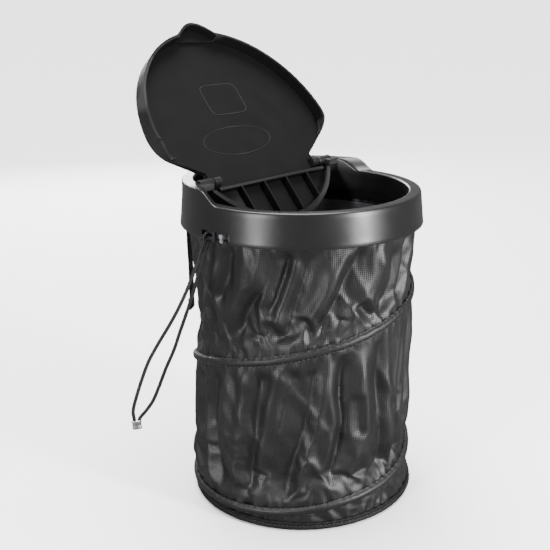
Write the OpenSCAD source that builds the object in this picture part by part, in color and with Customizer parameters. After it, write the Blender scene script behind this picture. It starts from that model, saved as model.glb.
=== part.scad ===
// Pop-up car trash bin: a moulded ring with a flip lid carries a fabric bag that a spiral
// spring wire holds open. The origin is the centre of the base on the floor, +Z is up, the
// thumb tab of the closed lid faces -Y and the hinge axis lies along X behind the middle.
// An azimuth is an angle round the bag, 0 at the front and growing towards +X.

/* [Ring] */
// Outside radius of the ring at its lower edge
ring_r = 82.5; // [70:0.5:100]
// Height of the ring from its lower edge to its low front top
ring_h = 22; // [18:0.5:32]
// How much the outside of the ring narrows from its lower edge to its top
ring_taper = 2.2; // [0.5:0.1:3.5]
// Width of the ring's top between the outside and the mouth
lip_w = 8.3; // [8:0.1:13]
// Thickness of the ring's moulded walls
ring_wall = 2; // [1.5:0.1:2.4]
// Height of the raised back of the ring above its low front top
cowl_rise = 8; // [6:0.5:12]
// Length, front to back, of the slope up to the raised back
slope_l = 15; // [10:0.5:22]
// Radius of the ring's rounded top edges
edge_r = 1.5; // [0.5:0.1:2]

/* [Hinge] */
// Distance of the hinge axis behind the middle of the ring
hinge_back = 31.6; // [26:0.2:36]
// Radius of the lid's hinge pins
pin_r = 1.8; // [1.4:0.1:2.2]
// Length of a hinge pin
pin_l = 8; // [5:0.5:9]
// Running clearance round a hinge pin
pin_gap = 0.08; // [0.05:0.01:0.1]
// Radius of the bosses that hold the hinge pins
boss_r = 3.2; // [3:0.1:4]
// Angle of the open lid from closed
open_angle = 130; // [100:1:135]

/* [Lid] */
// Outside radius of the lid
lid_r = 82; // [74:0.5:90]
// Depth of the lid's skirt below the hinge axis
skirt_h = 6.4; // [5.5:0.1:9]
// Height of the panel's underside above the hinge axis
panel_rise = 2; // [1.9:0.1:2.6]
// Thickness of the lid's panel and skirt
lid_wall = 2; // [1.5:0.1:3]
// Rise of the lid's crowned top from its edge to its middle
crown = 2.4; // [0:0.1:5]
// Half the width of the lid's neck at the hinge
neck_half = 52; // [46:0.5:54]
// Length of the neck behind the hinge axis
neck_back = 8; // [6:0.5:12]
// Radius of the lugs that carry the hinge pins
lug_r = 3; // [2.6:0.1:3.4]
// Length of those lugs
lug_l = 6; // [4:0.5:9]
// Half the width of the hollow thumb tab
tab_half = 20; // [10:0.5:26]
// How far the thumb tab stands out of the rim
tab_out = 7.3; // [4:0.1:9]
// Thickness of the ribs under the tail
rib_t = 1.4; // [1:0.1:2.5]
// Height of the ribs under the tail
rib_h = 5; // [3:0.5:6]
// Distance between ribs
rib_step = 21.7; // [15:0.1:25]

/* [Bag] */
// Height of the bag from the floor to the ring's lower edge
bag_h = 197; // [150:1:260]
// Thickness of the lined fabric
fabric_t = 1.2; // [0.8:0.1:1.5]
// Height of the bound edge round the base
hem_h = 6; // [5:0.5:7]
// Thickness of the bound edges
hem_t = 1.6; // [1.2:0.1:2]
// Thickness of the clamp ring that traps the bag's top edge
clamp_t = 1.5; // [1:0.1:1.8]
// Gap left between pieces that lie against each other
seat_gap = 0.3; // [0.15:0.05:0.35]

/* [Spring wire] */
// Radius of the spring wire
wire_r = 0.9; // [0.7:0.05:1.2]
// Width of the sewn casing that holds the wire
casing_w = 6.5; // [5:0.5:9]
// Thickness of the casing over the wire
casing_t = 3; // [2.8:0.1:4]

/* [Cord and strap] */
// Radius of the elastic cord
cord_r = 1.2; // [1:0.1:1.5]
// Width of the notch in the ring's lower edge that the cord comes out of
notch_w = 24; // [18:1:30]
// Height of that notch
notch_h = 6; // [5.6:0.2:8]
// Radius of the bar that the cord loops round
bar_r = 1.2; // [1:0.1:1.3]
// Radius of the pale peg beside the cord
peg_r = 1.5; // [1:0.1:1.8]
// Width of the hanging strap
strap_w = 9; // [6:0.5:16]
// Thickness of the hanging strap
strap_t = 1.2; // [0.8:0.1:1.4]
// Length of the hanging strap below the ring
strap_l = 70; // [30:1:120]
// Length of the crimp on the cord's ends
crimp_l = 6; // [4:0.5:10]
// Wall of the crimp
crimp_wall = 0.6; // [0.4:0.1:1]

/* [Hidden] */

round_fn = 120;
fine_fn = 32;
arc_n = 36;
edge_n = 5;
dome_n = 12;
crimp_n = 8;
shells = 4;
overrun = 1;

// Ring, from its lower edge up
low_z = bag_h + ring_h;
cowl_z = low_z + cowl_rise;
ring_top_r = ring_r - ring_taper;
mouth_r = ring_top_r - lip_w;
channel_r = mouth_r + ring_wall;
inner_share = 0.72;
inner_z = low_z - inner_share * ring_h;
slope_start_share = 0.02;
slope_y = -slope_start_share * ring_r;
slope_n = 10;
front_sweep = 172;

// What fills the ring's channel, from the mouth outwards
top_hem_in = channel_r + seat_gap;
top_hem_share = 0.8;
top_hem_t = top_hem_share * hem_t;
clamp_in = top_hem_in + top_hem_t + seat_gap;
clamp_out = clamp_in + clamp_t;
channel_fill_share = 0.75;
channel_fill = channel_fill_share * ring_h;

// Hinge
hinge_z = low_z + seat_gap + skirt_h;
side_gap = 2 * seat_gap;
boss_in = neck_half + side_gap;
wall_x = sqrt(mouth_r * mouth_r - hinge_back * hinge_back);

// Lid, in its closed place: s runs along X, t forwards from the hinge axis
corner_t_share = 0.33;
corner_s = lid_r;
corner_t = corner_t_share * lid_r;
neck_t_share = 0.1;
neck_t = neck_t_share * lid_r;
corner_round_share = 0.13;
corner_round = corner_round_share * lid_r;
corner_n = 6;
arc_end = 84;
tail_gap = 1;
tail_r = mouth_r - tail_gap;
cowl_gap = 0.6;
skirt_end_share = 0.25;
skirt_back = hinge_back - slope_y - (1 - skirt_end_share) * slope_l;
tab_sag = tab_half * tab_half / (2 * lid_r);
tab_n = 16;
rib_n = 4;

// Bag: its radius at heights given as shares of bag_h, as shares of its top radius
bag_r = clamp_in;
full_az = -138.5;
full_share = [[0, 1.03], [0.04, 1.03], [0.1, 1.054], [0.16, 1.054], [0.25, 1.042],
              [0.36, 1.021], [0.54, 0.988], [0.62, 0.962], [0.76, 0.959], [0.88, 0.982],
              [0.97, 1], [1.1, 1]];
slim_share = [[0, 1.03], [0.04, 1.03], [0.12, 1.01], [0.19, 0.982], [0.27, 1],
              [0.36, 1.013], [0.46, 1.001], [0.8, 0.996], [0.97, 1], [1.1, 1]];
smooth_share = 0.02;
base_share = 1.03;
base_r = base_share * bag_r;
bag_sides = 64;
bag_rows = 20;
base_hem_in = base_r + seat_gap;
base_hem_out = base_hem_in + hem_t;
hoop_share = 1.1;
hoop_r = hoop_share * wire_r;
hoop_at = base_r - fabric_t - seat_gap - hoop_r;
floor_r = hoop_at - hoop_r;
wall_z = hem_t + seat_gap;

// Spiral: height at each turn, as shares of bag_h. It runs along the base before it climbs
seam_az = -128.5;
seam_share = [[-1, 0.0495], [0.1, 0.0495], [0.19, 0.067], [0.4, 0.137], [0.72, 0.33],
              [1.03, 0.54], [1.19, 0.622], [1.375, 0.722], [1.62, 0.85], [1.9, 0.985], [2, 1]];
seam_smooth = 0.05;
first_turn = -0.45;
last_turn = 1.86;
seam_n = 116;
tunnel_r = wire_r + seat_gap;

// Cord, notch and strap
lug_az = -90;
peg_az = -86;
pillar_w = 2;
bar_z = bag_h + 2 * seat_gap + bar_r;
bar_at = ring_r - ring_wall / 2;
strap_az = -149;
strap_in = clamp_out + seat_gap;
strap_out = base_hem_out + seat_gap;
strap_bend_share = 0.08;
strap_up_share = 0.25;
strap_fold_share = 0.12;
cord_sides = 8;
cord_cuts = 2;
crimp_at = [-126, 33.5, 77];
crimp_share = 1.17;
crimp_turn = -30;
peg_neck_share = 0.8;
peg_head_share = 0.4;
lean = [-0.866, 0.5, 0];

// Route of the cord: from the crimp up the outer strand, round the bar and back down
cord_route = [[-127.2, 34.2, 74], [-127.2, 34.2, 80], [-127.5, 34.5, 87], [-125, 33, 97],
              [-121.5, 31, 108], [-117, 28.5, 120], [-111, 25, 131.5], [-104.5, 21, 143],
              [-98.5, 17.5, 154.5], [-93.5, 14.5, 166], [-89.5, 12, 177], [-86.5, 10, 187],
              [-84.5, 8, 195], [-83.5, 7.5, 199.5], [-81.5, 7, 201.5], [-79.2, 7, 200],
              [-79.1, 7, 197.5], [-81, 7, 195.5], [-82.5, 8, 190], [-84.5, 9.5, 182],
              [-87.5, 11.5, 172], [-90.5, 13.5, 161], [-94.5, 15.5, 149.5],
              [-98.5, 18, 137.5], [-102.5, 20, 126], [-107.5, 23, 114], [-112, 25.5, 102],
              [-116, 28, 92], [-120.5, 30.5, 85.5], [-124, 32.3, 81.5],
              [-124.8, 32.8, 78], [-124.8, 32.8, 74]];

function on_circle(r, az) = [r * sin(az), -r * cos(az)];

// Outline of the lid's panel, drawn in by d; back_t is where the neck ends
edge_dir = [corner_s - neck_half, corner_t - neck_t] / norm([corner_s - neck_half, corner_t - neck_t]);
function edge_at(s, d) = neck_t + d / edge_dir[0] + (s - neck_half) * edge_dir[1] / edge_dir[0];
function lid_arc(d) = [for (i = [0 : arc_n]) let (a = arc_end * (1 - 2 * i / arc_n))
    [(lid_r - d) * sin(a), hinge_back + (lid_r - d) * cos(a)]];
function bezier(a, b, c, u) = (1 - u) * (1 - u) * a + 2 * u * (1 - u) * b + u * u * c;
function lid_corner(d) = let (
        a = [(lid_r - d) * sin(arc_end), hinge_back + (lid_r - d) * cos(arc_end)],
        b = [corner_s - d, edge_at(corner_s - d, d)],
        c = b - corner_round * edge_dir)
    [for (i = [1 : corner_n]) bezier(a, b, c, i / corner_n)];
function lid_side(d, back_t) = concat(lid_corner(d),
    [[neck_half - d, edge_at(neck_half - d, d)], [neck_half - d, back_t]]);
function reversed(list) = [for (i = [len(list) - 1 : -1 : 0]) list[i]];
function lid_outline(d, back_t) = concat(reversed(lid_arc(d)), lid_side(d, back_t),
    [for (p = reversed(lid_side(d, back_t))) [-p[0], p[1]]]);

// Points of an arc round a centre, from angle a to b in n steps
function arc_points(centre, r, a, b, n) = [for (i = [0 : n])
    let (q = a + (b - a) * i / n) centre + r * [cos(q), sin(q)]];

// Radius of the bag's outside at an azimuth and a height
function eased(list, x, d) = (lookup(x - d, list) + 2 * lookup(x, list) + lookup(x + d, list)) / 4;
function bag_out(az, z) = let (w = (1 + cos(az - full_az)) / 2, h = z / bag_h)
    bag_r * (w * eased(full_share, h, smooth_share) + (1 - w) * eased(slim_share, h, smooth_share));

// Height, azimuth and radius of the spiral's middle line at a turn
function seam_z(turn) = bag_h * eased(seam_share, turn, seam_smooth);
function seam_turn(i) = first_turn + (last_turn - first_turn) * i / seam_n;
function seam_in(az, z) = max(bag_out(az, z - casing_w / 2), bag_out(az, z),
    bag_out(az, z + casing_w / 2)) + seat_gap;

// Points round the spiral's middle line: shape holds [outwards, upwards] offsets
function spiral_points(shape) = [for (i = [0 : seam_n]) let (
        turn = seam_turn(i), az = seam_az + turn * 360, z = seam_z(turn),
        r = seam_in(az, z) + casing_t / 2)
    for (p = shape) let (q = on_circle(r + p[0], az)) [q[0], q[1], z + p[1]]];
function oval(a, b, n) = [for (k = [0 : n - 1]) let (q = (k + 0.5) * 360 / n)
    [a * cos(q), b * sin(q)]];

// Points of a smooth line through a route, with extra cuts between its points
function at(list, i) = list[max(0, min(len(list) - 1, i))];
function smooth_point(list, i, u) = let (
        a = at(list, i - 1), b = at(list, i), c = at(list, i + 1), d = at(list, i + 2))
    (2 * b + u * (c - a) + u * u * (2 * a - 5 * b + 4 * c - d)
        + u * u * u * (3 * b - 3 * c + d - a)) / 2;
function smooth_line(list, cuts) = concat([for (i = [0 : len(list) - 2])
    for (k = [0 : cuts - 1]) smooth_point(list, i, k / cuts)], [at(list, len(list) - 1)]);
function unit(v) = v / norm(v);

// Faces of a tube whose rings of n points follow each other, with flat ends
function tube_faces(rings, n) = concat(
    [for (i = [0 : rings - 2]) for (k = [0 : n - 1])
        [i * n + k, i * n + (k + 1) % n, (i + 1) * n + (k + 1) % n, (i + 1) * n + k]],
    [[for (k = [n - 1 : -1 : 0]) k]],
    [[for (k = [0 : n - 1]) (rings - 1) * n + k]]);

module at_azimuth(az, r, z) {
    rotate([0, 0, az]) translate([0, -r, z]) children();
}

module turned(points) {
    rotate_extrude($fn = round_fn) polygon(points);
}

// A solid drawn in the YZ plane and as wide as the whole ring
module across(points) {
    translate([-ring_r - overrun, 0, 0])
        rotate([90, 0, 90])
            linear_extrude(2 * (ring_r + overrun)) polygon(points);
}

// Everything above the ring's top line, moved up by lift and forwards by shift
module above_top_line(lift, shift) {
    far = ring_r + 2 * overrun;
    slope = [for (i = [0 : slope_n]) let (u = i / slope_n)
        [slope_y - shift + u * slope_l, low_z + lift + cowl_rise * (1 - cos(180 * u)) / 2]];
    across(concat([[-far, cowl_z + far], [-far, low_z + lift]], slope,
        [[far, cowl_z + lift], [far, cowl_z + far]]));
}

// Outside of the ring, as a full-height ring with rounded top edges
module ring_blank() {
    top = cowl_z - edge_r;
    turned(concat([[channel_r + ring_wall / 2, bag_h], [ring_r, bag_h], [ring_top_r, low_z]],
        arc_points([ring_top_r - edge_r, top], edge_r, 0, 90, edge_n),
        arc_points([mouth_r + edge_r, top], edge_r, 90, 180, edge_n),
        [[mouth_r, inner_z], [channel_r + ring_wall / 2, inner_z]]));
}

// Channel that opens downwards between the ring's inner and outer walls
module ring_channel() {
    difference() {
        turned([[channel_r, bag_h - overrun], [ring_r - ring_wall, bag_h - overrun],
            [ring_r - ring_wall, bag_h], [ring_top_r - ring_wall, low_z],
            [ring_top_r - ring_wall, cowl_z - ring_wall], [channel_r, cowl_z - ring_wall]]);
        above_top_line(-ring_wall, -ring_wall);
    }
}

// Takes the sharp corners off the ring's low front top
module front_edges() {
    rotate([0, 0, -90 - front_sweep / 2]) rotate_extrude(angle = front_sweep, $fn = round_fn) {
        polygon(concat([[ring_top_r + overrun, low_z - edge_r], [ring_top_r + overrun, low_z + overrun],
            [ring_top_r - edge_r, low_z + overrun]],
            reversed(arc_points([ring_top_r - edge_r, low_z - edge_r], edge_r, 0, 90, edge_n))));
        polygon(concat([[mouth_r - overrun, low_z - edge_r]],
            reversed(arc_points([mouth_r + edge_r, low_z - edge_r], edge_r, 90, 180, edge_n)),
            [[mouth_r + edge_r, low_z + overrun], [mouth_r - overrun, low_z + overrun]]));
    }
}

module hinge_boss(side) {
    boss_l = wall_x + ring_wall / 2 - boss_in;
    translate([side * boss_in, hinge_back, hinge_z])
        rotate([0, side * 90, 0]) cylinder(h = boss_l, r = boss_r, $fn = fine_fn);
}

module hinge_bore(side) {
    bore_l = pin_l + side_gap;
    translate([side * (boss_in - overrun), hinge_back, hinge_z])
        rotate([0, side * 90, 0])
            cylinder(h = bore_l + overrun, r = pin_r + pin_gap, $fn = fine_fn);
}

// Notch in the ring's lower edge, with the bar that the cord loops round
module cord_notch() {
    at_azimuth(lug_az, ring_r - ring_wall - overrun, bag_h - overrun)
        translate([-notch_w / 2, -ring_wall - 2 * overrun, 0])
            cube([notch_w, ring_wall + 3 * overrun, notch_h + overrun]);
}

module cord_bar() {
    at_azimuth(lug_az, bar_at, bar_z)
        translate([-notch_w / 2 - overrun, 0, 0])
            rotate([0, 90, 0]) cylinder(h = notch_w / 2 + overrun, r = bar_r, $fn = fine_fn);
    at_azimuth(lug_az, bar_at, bag_h)
        translate([-pillar_w / 2, -bar_r, 0]) cube([pillar_w, 2 * bar_r, notch_h + overrun]);
}

module rim_ring() {
    color("#1d1d1f") union() {
        difference() {
            union() {
                difference() {
                    ring_blank();
                    ring_channel();
                    above_top_line(0, 0);
                    front_edges();
                    cord_notch();
                }
                hinge_boss(1);
                hinge_boss(-1);
            }
            hinge_bore(1);
            hinge_bore(-1);
        }
        cord_bar();
    }
}

module clamp_ring() {
    color("#26262a") turned([[clamp_in, bag_h + hem_t], [clamp_out, bag_h + hem_t],
        [clamp_out, bag_h + channel_fill], [clamp_in, bag_h + channel_fill]]);
}

module top_hem() {
    color("#1a1a1c") turned([[top_hem_in, bag_h], [top_hem_in + top_hem_t, bag_h],
        [top_hem_in + top_hem_t, bag_h + channel_fill], [top_hem_in, bag_h + channel_fill]]);
}

// The lid's panel, skirt, neck, tail and tab are drawn closed, with the hinge axis along X
module lid_panel() {
    reach = lid_r + corner_round;
    translate([0, 0, panel_rise]) intersection() {
        linear_extrude(lid_wall + crown) polygon(lid_outline(0, -neck_back));
        translate([0, hinge_back, 0]) turned(concat([[0, 0], [reach, 0]],
            [for (i = [0 : dome_n]) let (x = reach * (1 - i / dome_n))
                [x, lid_wall + crown * (1 - x * x / (reach * reach))]]));
    }
}

// The skirt ends where the ring starts to rise, so the neck's edges stay thin
module lid_skirt() {
    translate([0, 0, -skirt_h]) linear_extrude(skirt_h + panel_rise + lid_wall / 2) intersection() {
        difference() {
            polygon(lid_outline(0, -neck_back));
            polygon(lid_outline(lid_wall, -neck_back - overrun));
        }
        translate([-2 * lid_r, skirt_back]) square([4 * lid_r, 2 * lid_r]);
    }
}

// Segment of a disc behind the neck, in plan
module tail_shape(r) {
    half = acos((hinge_back + neck_back) / tail_r);
    side = r * sin(half);
    polygon(concat([for (i = [0 : arc_n]) let (a = half * (2 * i / arc_n - 1))
        [r * sin(a), hinge_back - r * cos(a)]], [[side, -neck_back + lid_wall / 2],
        [-side, -neck_back + lid_wall / 2]]));
}

// Tail behind the neck, with a rim, ribs and a ledge across the neck
module lid_tail() {
    translate([0, 0, panel_rise]) linear_extrude(lid_wall) tail_shape(tail_r);
    translate([0, 0, panel_rise - rib_h]) linear_extrude(rib_h + lid_wall / 2) {
        difference() {
            tail_shape(tail_r);
            translate([0, lid_wall, 0]) tail_shape(tail_r - lid_wall);
        }
        intersection() {
            tail_shape(tail_r - lid_wall / 2);
            for (i = [0 : rib_n - 1]) translate([(i - (rib_n - 1) / 2) * rib_step - rib_t / 2, -lid_r])
                square([rib_t, 2 * lid_r]);
        }
        translate([-neck_half, -neck_back]) square([2 * neck_half, lid_wall]);
    }
}

// The thumb tab in plan, drawn in by d and reaching back to root_t
module tab_shape(d, root_t) {
    half = tab_half - d;
    polygon(concat([for (i = [0 : tab_n]) let (u = 2 * i / tab_n - 1, h = cos(90 * u))
        [u * half, hinge_back + lid_r - lid_wall + h * (tab_out + lid_wall - d) - (1 - h) * tab_sag]],
        [[half, root_t], [-half, root_t]]));
}

module tab_shell() {
    translate([0, 0, -skirt_h]) linear_extrude(skirt_h + panel_rise)
        tab_shape(0, hinge_back + lid_r - lid_wall - tab_sag);
}

// The hollow under the thumb tab, open downwards and to the inside of the skirt
module tab_hollow() {
    translate([0, 0, -skirt_h - overrun]) linear_extrude(skirt_h + overrun)
        tab_shape(lid_wall, hinge_back + lid_r - lid_wall - overrun - 2 * tab_sag);
}

// Lugs under the neck that carry the hinge pins
module pin_lugs() {
    for (side = [0, 1]) mirror([side, 0, 0]) translate([neck_half - lug_l, 0, 0]) {
        rotate([0, 90, 0]) cylinder(h = lug_l, r = lug_r, $fn = fine_fn);
        translate([0, -lug_r, 0]) cube([lug_l, 2 * lug_r, panel_rise + lid_wall / 2]);
    }
}

module hinge_pins() {
    for (side = [-1, 1]) translate([side * (neck_half - lid_wall / 2), 0, 0])
        rotate([0, side * 90, 0])
            cylinder(h = pin_l + lid_wall / 2, r = pin_r, $fn = fine_fn);
}

// Room that the closed lid leaves for the ring's raised back
module cowl_room() {
    difference() {
        turned([[mouth_r - cowl_gap, low_z - overrun], [ring_r + overrun, low_z - overrun],
            [ring_r + overrun, cowl_z + cowl_gap], [mouth_r - cowl_gap, cowl_z + cowl_gap]]);
        above_top_line(cowl_gap, cowl_gap);
        front_reach = 2 * ring_r;
        translate([-ring_r - 2 * overrun, slope_y - cowl_gap - front_reach, low_z - 2 * overrun])
            cube([2 * ring_r + 4 * overrun, front_reach, cowl_rise + 4 * overrun]);
    }
}

module closed_lid() {
    difference() {
        translate([0, hinge_back, hinge_z]) mirror([0, 1, 0]) {
            lid_panel();
            lid_skirt();
            lid_tail();
            tab_shell();
            pin_lugs();
        }
        translate([0, hinge_back, hinge_z]) mirror([0, 1, 0]) tab_hollow();
        cowl_room();
    }
    translate([0, hinge_back, hinge_z]) hinge_pins();
}

module lid() {
    color("#2b2b2d") translate([0, hinge_back, hinge_z]) rotate([-open_angle, 0, 0])
        translate([0, -hinge_back, -hinge_z]) closed_lid();
}

// Fabric wall between the bound base and the ring
module bag_wall() {
    top = bag_h - seat_gap;
    function row_z(i) = wall_z + (top - wall_z) * i / bag_rows;
    function layer(d) = [for (i = [0 : bag_rows]) for (k = [0 : bag_sides - 1])
        let (az = k * 360 / bag_sides, z = row_z(i), q = on_circle(bag_out(az, z) - d, az))
        [q[0], q[1], z]];
    n = bag_sides;
    inner = (bag_rows + 1) * n;
    last = bag_rows * n;
    faces = [for (i = [0 : bag_rows - 1]) for (k = [0 : n - 1]) let (
            a = i * n + k, b = i * n + (k + 1) % n)
        each [[a, a + n, b + n, b], [inner + a, inner + b, inner + b + n, inner + a + n]]];
    rims = [for (k = [0 : n - 1]) let (b = (k + 1) % n)
        each [[k, b, inner + b, inner + k],
              [last + k, inner + last + k, inner + last + b, last + b]]];
    color("#19191b") polyhedron(concat(layer(0), layer(fabric_t)), concat(faces, rims), shells);
}

// Sewn strip over the wire, with the tunnel that the wire lies in
module spiral_casing() {
    n = 8;
    rings = seam_n + 1;
    outer = oval(casing_t / 2 / cos(180 / n), casing_w / 2, n);
    tunnel = oval(tunnel_r, tunnel_r, n);
    shift = rings * n;
    faces = [for (i = [0 : rings - 2]) for (k = [0 : n - 1]) let (
            a = i * n + k, b = i * n + (k + 1) % n)
        each [[a, b, b + n, a + n], [shift + a, shift + a + n, shift + b + n, shift + b]]];
    ends = [for (k = [0 : n - 1]) let (b = (k + 1) % n, last = (rings - 1) * n)
        each [[k, shift + k, shift + b, b],
              [last + k, last + b, shift + last + b, shift + last + k]]];
    color("#232326") polyhedron(concat(spiral_points(outer), spiral_points(tunnel)),
        concat(faces, ends), shells);
}

module spring_wire() {
    n = 6;
    color("#8a8c90") polyhedron(spiral_points(oval(wire_r, wire_r, n)),
        tube_faces(seam_n + 1, n), shells);
}

module bag_floor() {
    color("#19191b") cylinder(h = fabric_t, r = floor_r, $fn = round_fn);
}

// Binding that wraps the bag's lower edge
module bottom_hem() {
    color("#212124") turned(concat([[floor_r + seat_gap, 0]],
        arc_points([base_hem_out - hem_t, hem_t], hem_t, -90, 0, edge_n),
        [[base_hem_out, hem_h], [base_hem_in, hem_h], [base_hem_in, hem_t],
         [floor_r + seat_gap, hem_t]]));
}

module bottom_hoop() {
    color("#8a8c90") translate([0, 0, wall_z + hoop_r]) rotate_extrude($fn = round_fn)
        translate([hoop_at, 0]) circle(r = hoop_r, $fn = fine_fn / 2);
}

// The cord lies nearly in one upright plane, so each ring of points turns in that plane
module cord_loop() {
    line = smooth_line(cord_route, cord_cuts);
    flat = cross(lean, [0, 0, 1]);
    points = [for (i = [0 : len(line) - 1]) let (
            along = unit(at(line, i + 1) - at(line, i - 1)),
            across = unit(flat - (flat * along) * along),
            up = cross(across, along))
        for (k = [0 : cord_sides - 1]) let (q = k * 360 / cord_sides)
            line[i] + cord_r * (cos(q) * across + sin(q) * up)];
    color("#232325") polyhedron(points, tube_faces(len(line), cord_sides), shells);
}

// Pressed metal sleeve that joins the cord's two ends
module cord_crimp() {
    grip = cord_r + crimp_wall;
    apart = cord_r * crimp_share;
    color("#b9bcc0") translate(crimp_at - [0, 0, crimp_l / 2]) rotate([0, 0, crimp_turn])
        linear_extrude(crimp_l) difference() {
            polygon(concat(arc_points([apart, 0], grip, -90, 90, crimp_n),
                arc_points([-apart, 0], grip, 90, 270, crimp_n)));
            for (side = [-1, 1]) translate([side * apart, 0]) circle(r = cord_r, $fn = fine_fn);
        }
}

module cord_peg() {
    peg_h = notch_h - 2 * seat_gap;
    color("#a9abad") at_azimuth(peg_az, bar_at, bag_h + seat_gap) {
        cylinder(h = peg_h, r = peg_neck_share * peg_r, $fn = fine_fn);
        translate([0, 0, (1 - peg_head_share) * peg_h])
            cylinder(h = peg_head_share * peg_h, r = peg_r, $fn = fine_fn);
    }
}

// Webbing tucked up beside the clamp ring. It hangs clear of the base edge's path when the
// bag collapses, and its end is folded back.
module hang_strap() {
    up = bag_h + strap_up_share * ring_h;
    low = bag_h - strap_l;
    bend = strap_bend_share * strap_l;
    fold = low + strap_fold_share * strap_l;
    color("#151517") rotate([0, 0, strap_az]) translate([-strap_w / 2, 0, 0])
        rotate([90, 0, 90]) linear_extrude(strap_w)
            polygon([[-strap_in, up], [-strap_in, bag_h], [-strap_out, bag_h - bend],
                [-strap_out, low], [-strap_out - 2 * strap_t, low],
                [-strap_out - 2 * strap_t, fold], [-strap_out - strap_t, fold],
                [-strap_out - strap_t, bag_h - bend], [-strap_in - strap_t, bag_h],
                [-strap_in - strap_t, up]]);
}

rim_ring();
clamp_ring();
lid();
top_hem();
bag_wall();
spiral_casing();
spring_wire();
bag_floor();
bottom_hem();
bottom_hoop();
cord_loop();
cord_crimp();
cord_peg();
hang_strap();
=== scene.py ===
"""Looks of a pop-up car trash bin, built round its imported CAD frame.

Sizes are in millimetres on the frame's axes: the origin is the centre of the base on the floor,
+Z is up and the closed lid's thumb tab faces -Y. An azimuth is an angle round the bag in degrees,
0 at the front and growing towards +X. Meshes are written in metres.
"""

import logging
import math
from dataclasses import dataclass, field
from enum import Enum
from typing import Any, Iterable, Sequence

import bmesh
import bpy
import numpy as np
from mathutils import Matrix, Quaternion, Vector, noise


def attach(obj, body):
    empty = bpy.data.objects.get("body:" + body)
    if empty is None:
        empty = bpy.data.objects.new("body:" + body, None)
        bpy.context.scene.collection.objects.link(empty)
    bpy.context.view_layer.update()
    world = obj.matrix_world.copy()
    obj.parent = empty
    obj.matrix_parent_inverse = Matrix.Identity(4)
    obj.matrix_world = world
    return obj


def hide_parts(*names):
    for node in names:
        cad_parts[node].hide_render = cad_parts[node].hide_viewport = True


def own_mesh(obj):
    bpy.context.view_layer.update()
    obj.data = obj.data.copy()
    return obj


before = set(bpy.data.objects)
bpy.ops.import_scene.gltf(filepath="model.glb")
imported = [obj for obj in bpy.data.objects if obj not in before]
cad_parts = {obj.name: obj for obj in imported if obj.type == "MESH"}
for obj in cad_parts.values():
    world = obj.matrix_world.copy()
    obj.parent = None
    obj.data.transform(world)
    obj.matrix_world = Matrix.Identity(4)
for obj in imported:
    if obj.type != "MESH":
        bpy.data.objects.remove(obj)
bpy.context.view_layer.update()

log = logging.getLogger("car_bin")
Points = np.ndarray
MM = 0.001
UP = np.array([0.0, 0.0, 1.0])


class Body(Enum):
    """The CAD bodies that pieces ride on."""

    RIM = "rim"
    LID = "lid"
    BASE = "base"


def on_circle(radius: Points, azimuth: Points, height: Points) -> Points:
    """Place points round the bag.

    Args:
        radius: Distances from the middle, in mm.
        azimuth: Angles round the bag, in degrees.
        height: Heights above the floor, in mm.

    Returns:
        The points, with x, y and z along the last axis.
    """
    angle = np.radians(azimuth)
    radius, angle, height = np.broadcast_arrays(radius, angle, height)
    return np.stack([radius * np.sin(angle), -radius * np.cos(angle), height], axis=-1)


def smoothstep(value: Points, low: float, high: float) -> Points:
    """Rise smoothly from 0 at low to 1 at high."""
    share = np.clip((value - low) / (high - low), 0.0, 1.0)
    return share * share * (3.0 - 2.0 * share)


def smooth_line(route: Sequence[Sequence[float]], cuts: int) -> Points:
    """Run a Catmull-Rom line through a route.

    Args:
        route: The points that the line passes.
        cuts: How many steps it takes from one point to the next.

    Returns:
        The points of the line.
    """
    line = np.asarray(route, float)
    padded = np.vstack([line[:1], line, line[-1:]])
    share = np.linspace(0.0, 1.0, cuts, endpoint=False)[:, None]
    parts = []
    for a, b, c, d in zip(padded, padded[1:], padded[2:], padded[3:]):
        parts.append(
            (2 * b + share * (c - a) + share**2 * (2 * a - 5 * b + 4 * c - d)
             + share**3 * (3 * b - 3 * c + d - a)) / 2
        )
    return np.vstack(parts + [line[-1:]])


def lengths_along(line: Points) -> Points:
    """Length of a line up to each of its points."""
    steps = np.linalg.norm(np.diff(line, axis=0), axis=1)
    return np.concatenate([[0.0], np.cumsum(steps)])


def evenly(line: Points, step: float) -> Points:
    """Cut a line again into even steps of about the given length."""
    along = lengths_along(line)
    at = np.linspace(0.0, along[-1], max(2, int(round(along[-1] / step)) + 1))
    return np.stack([np.interp(at, along, line[:, k]) for k in range(3)], axis=1)


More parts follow.
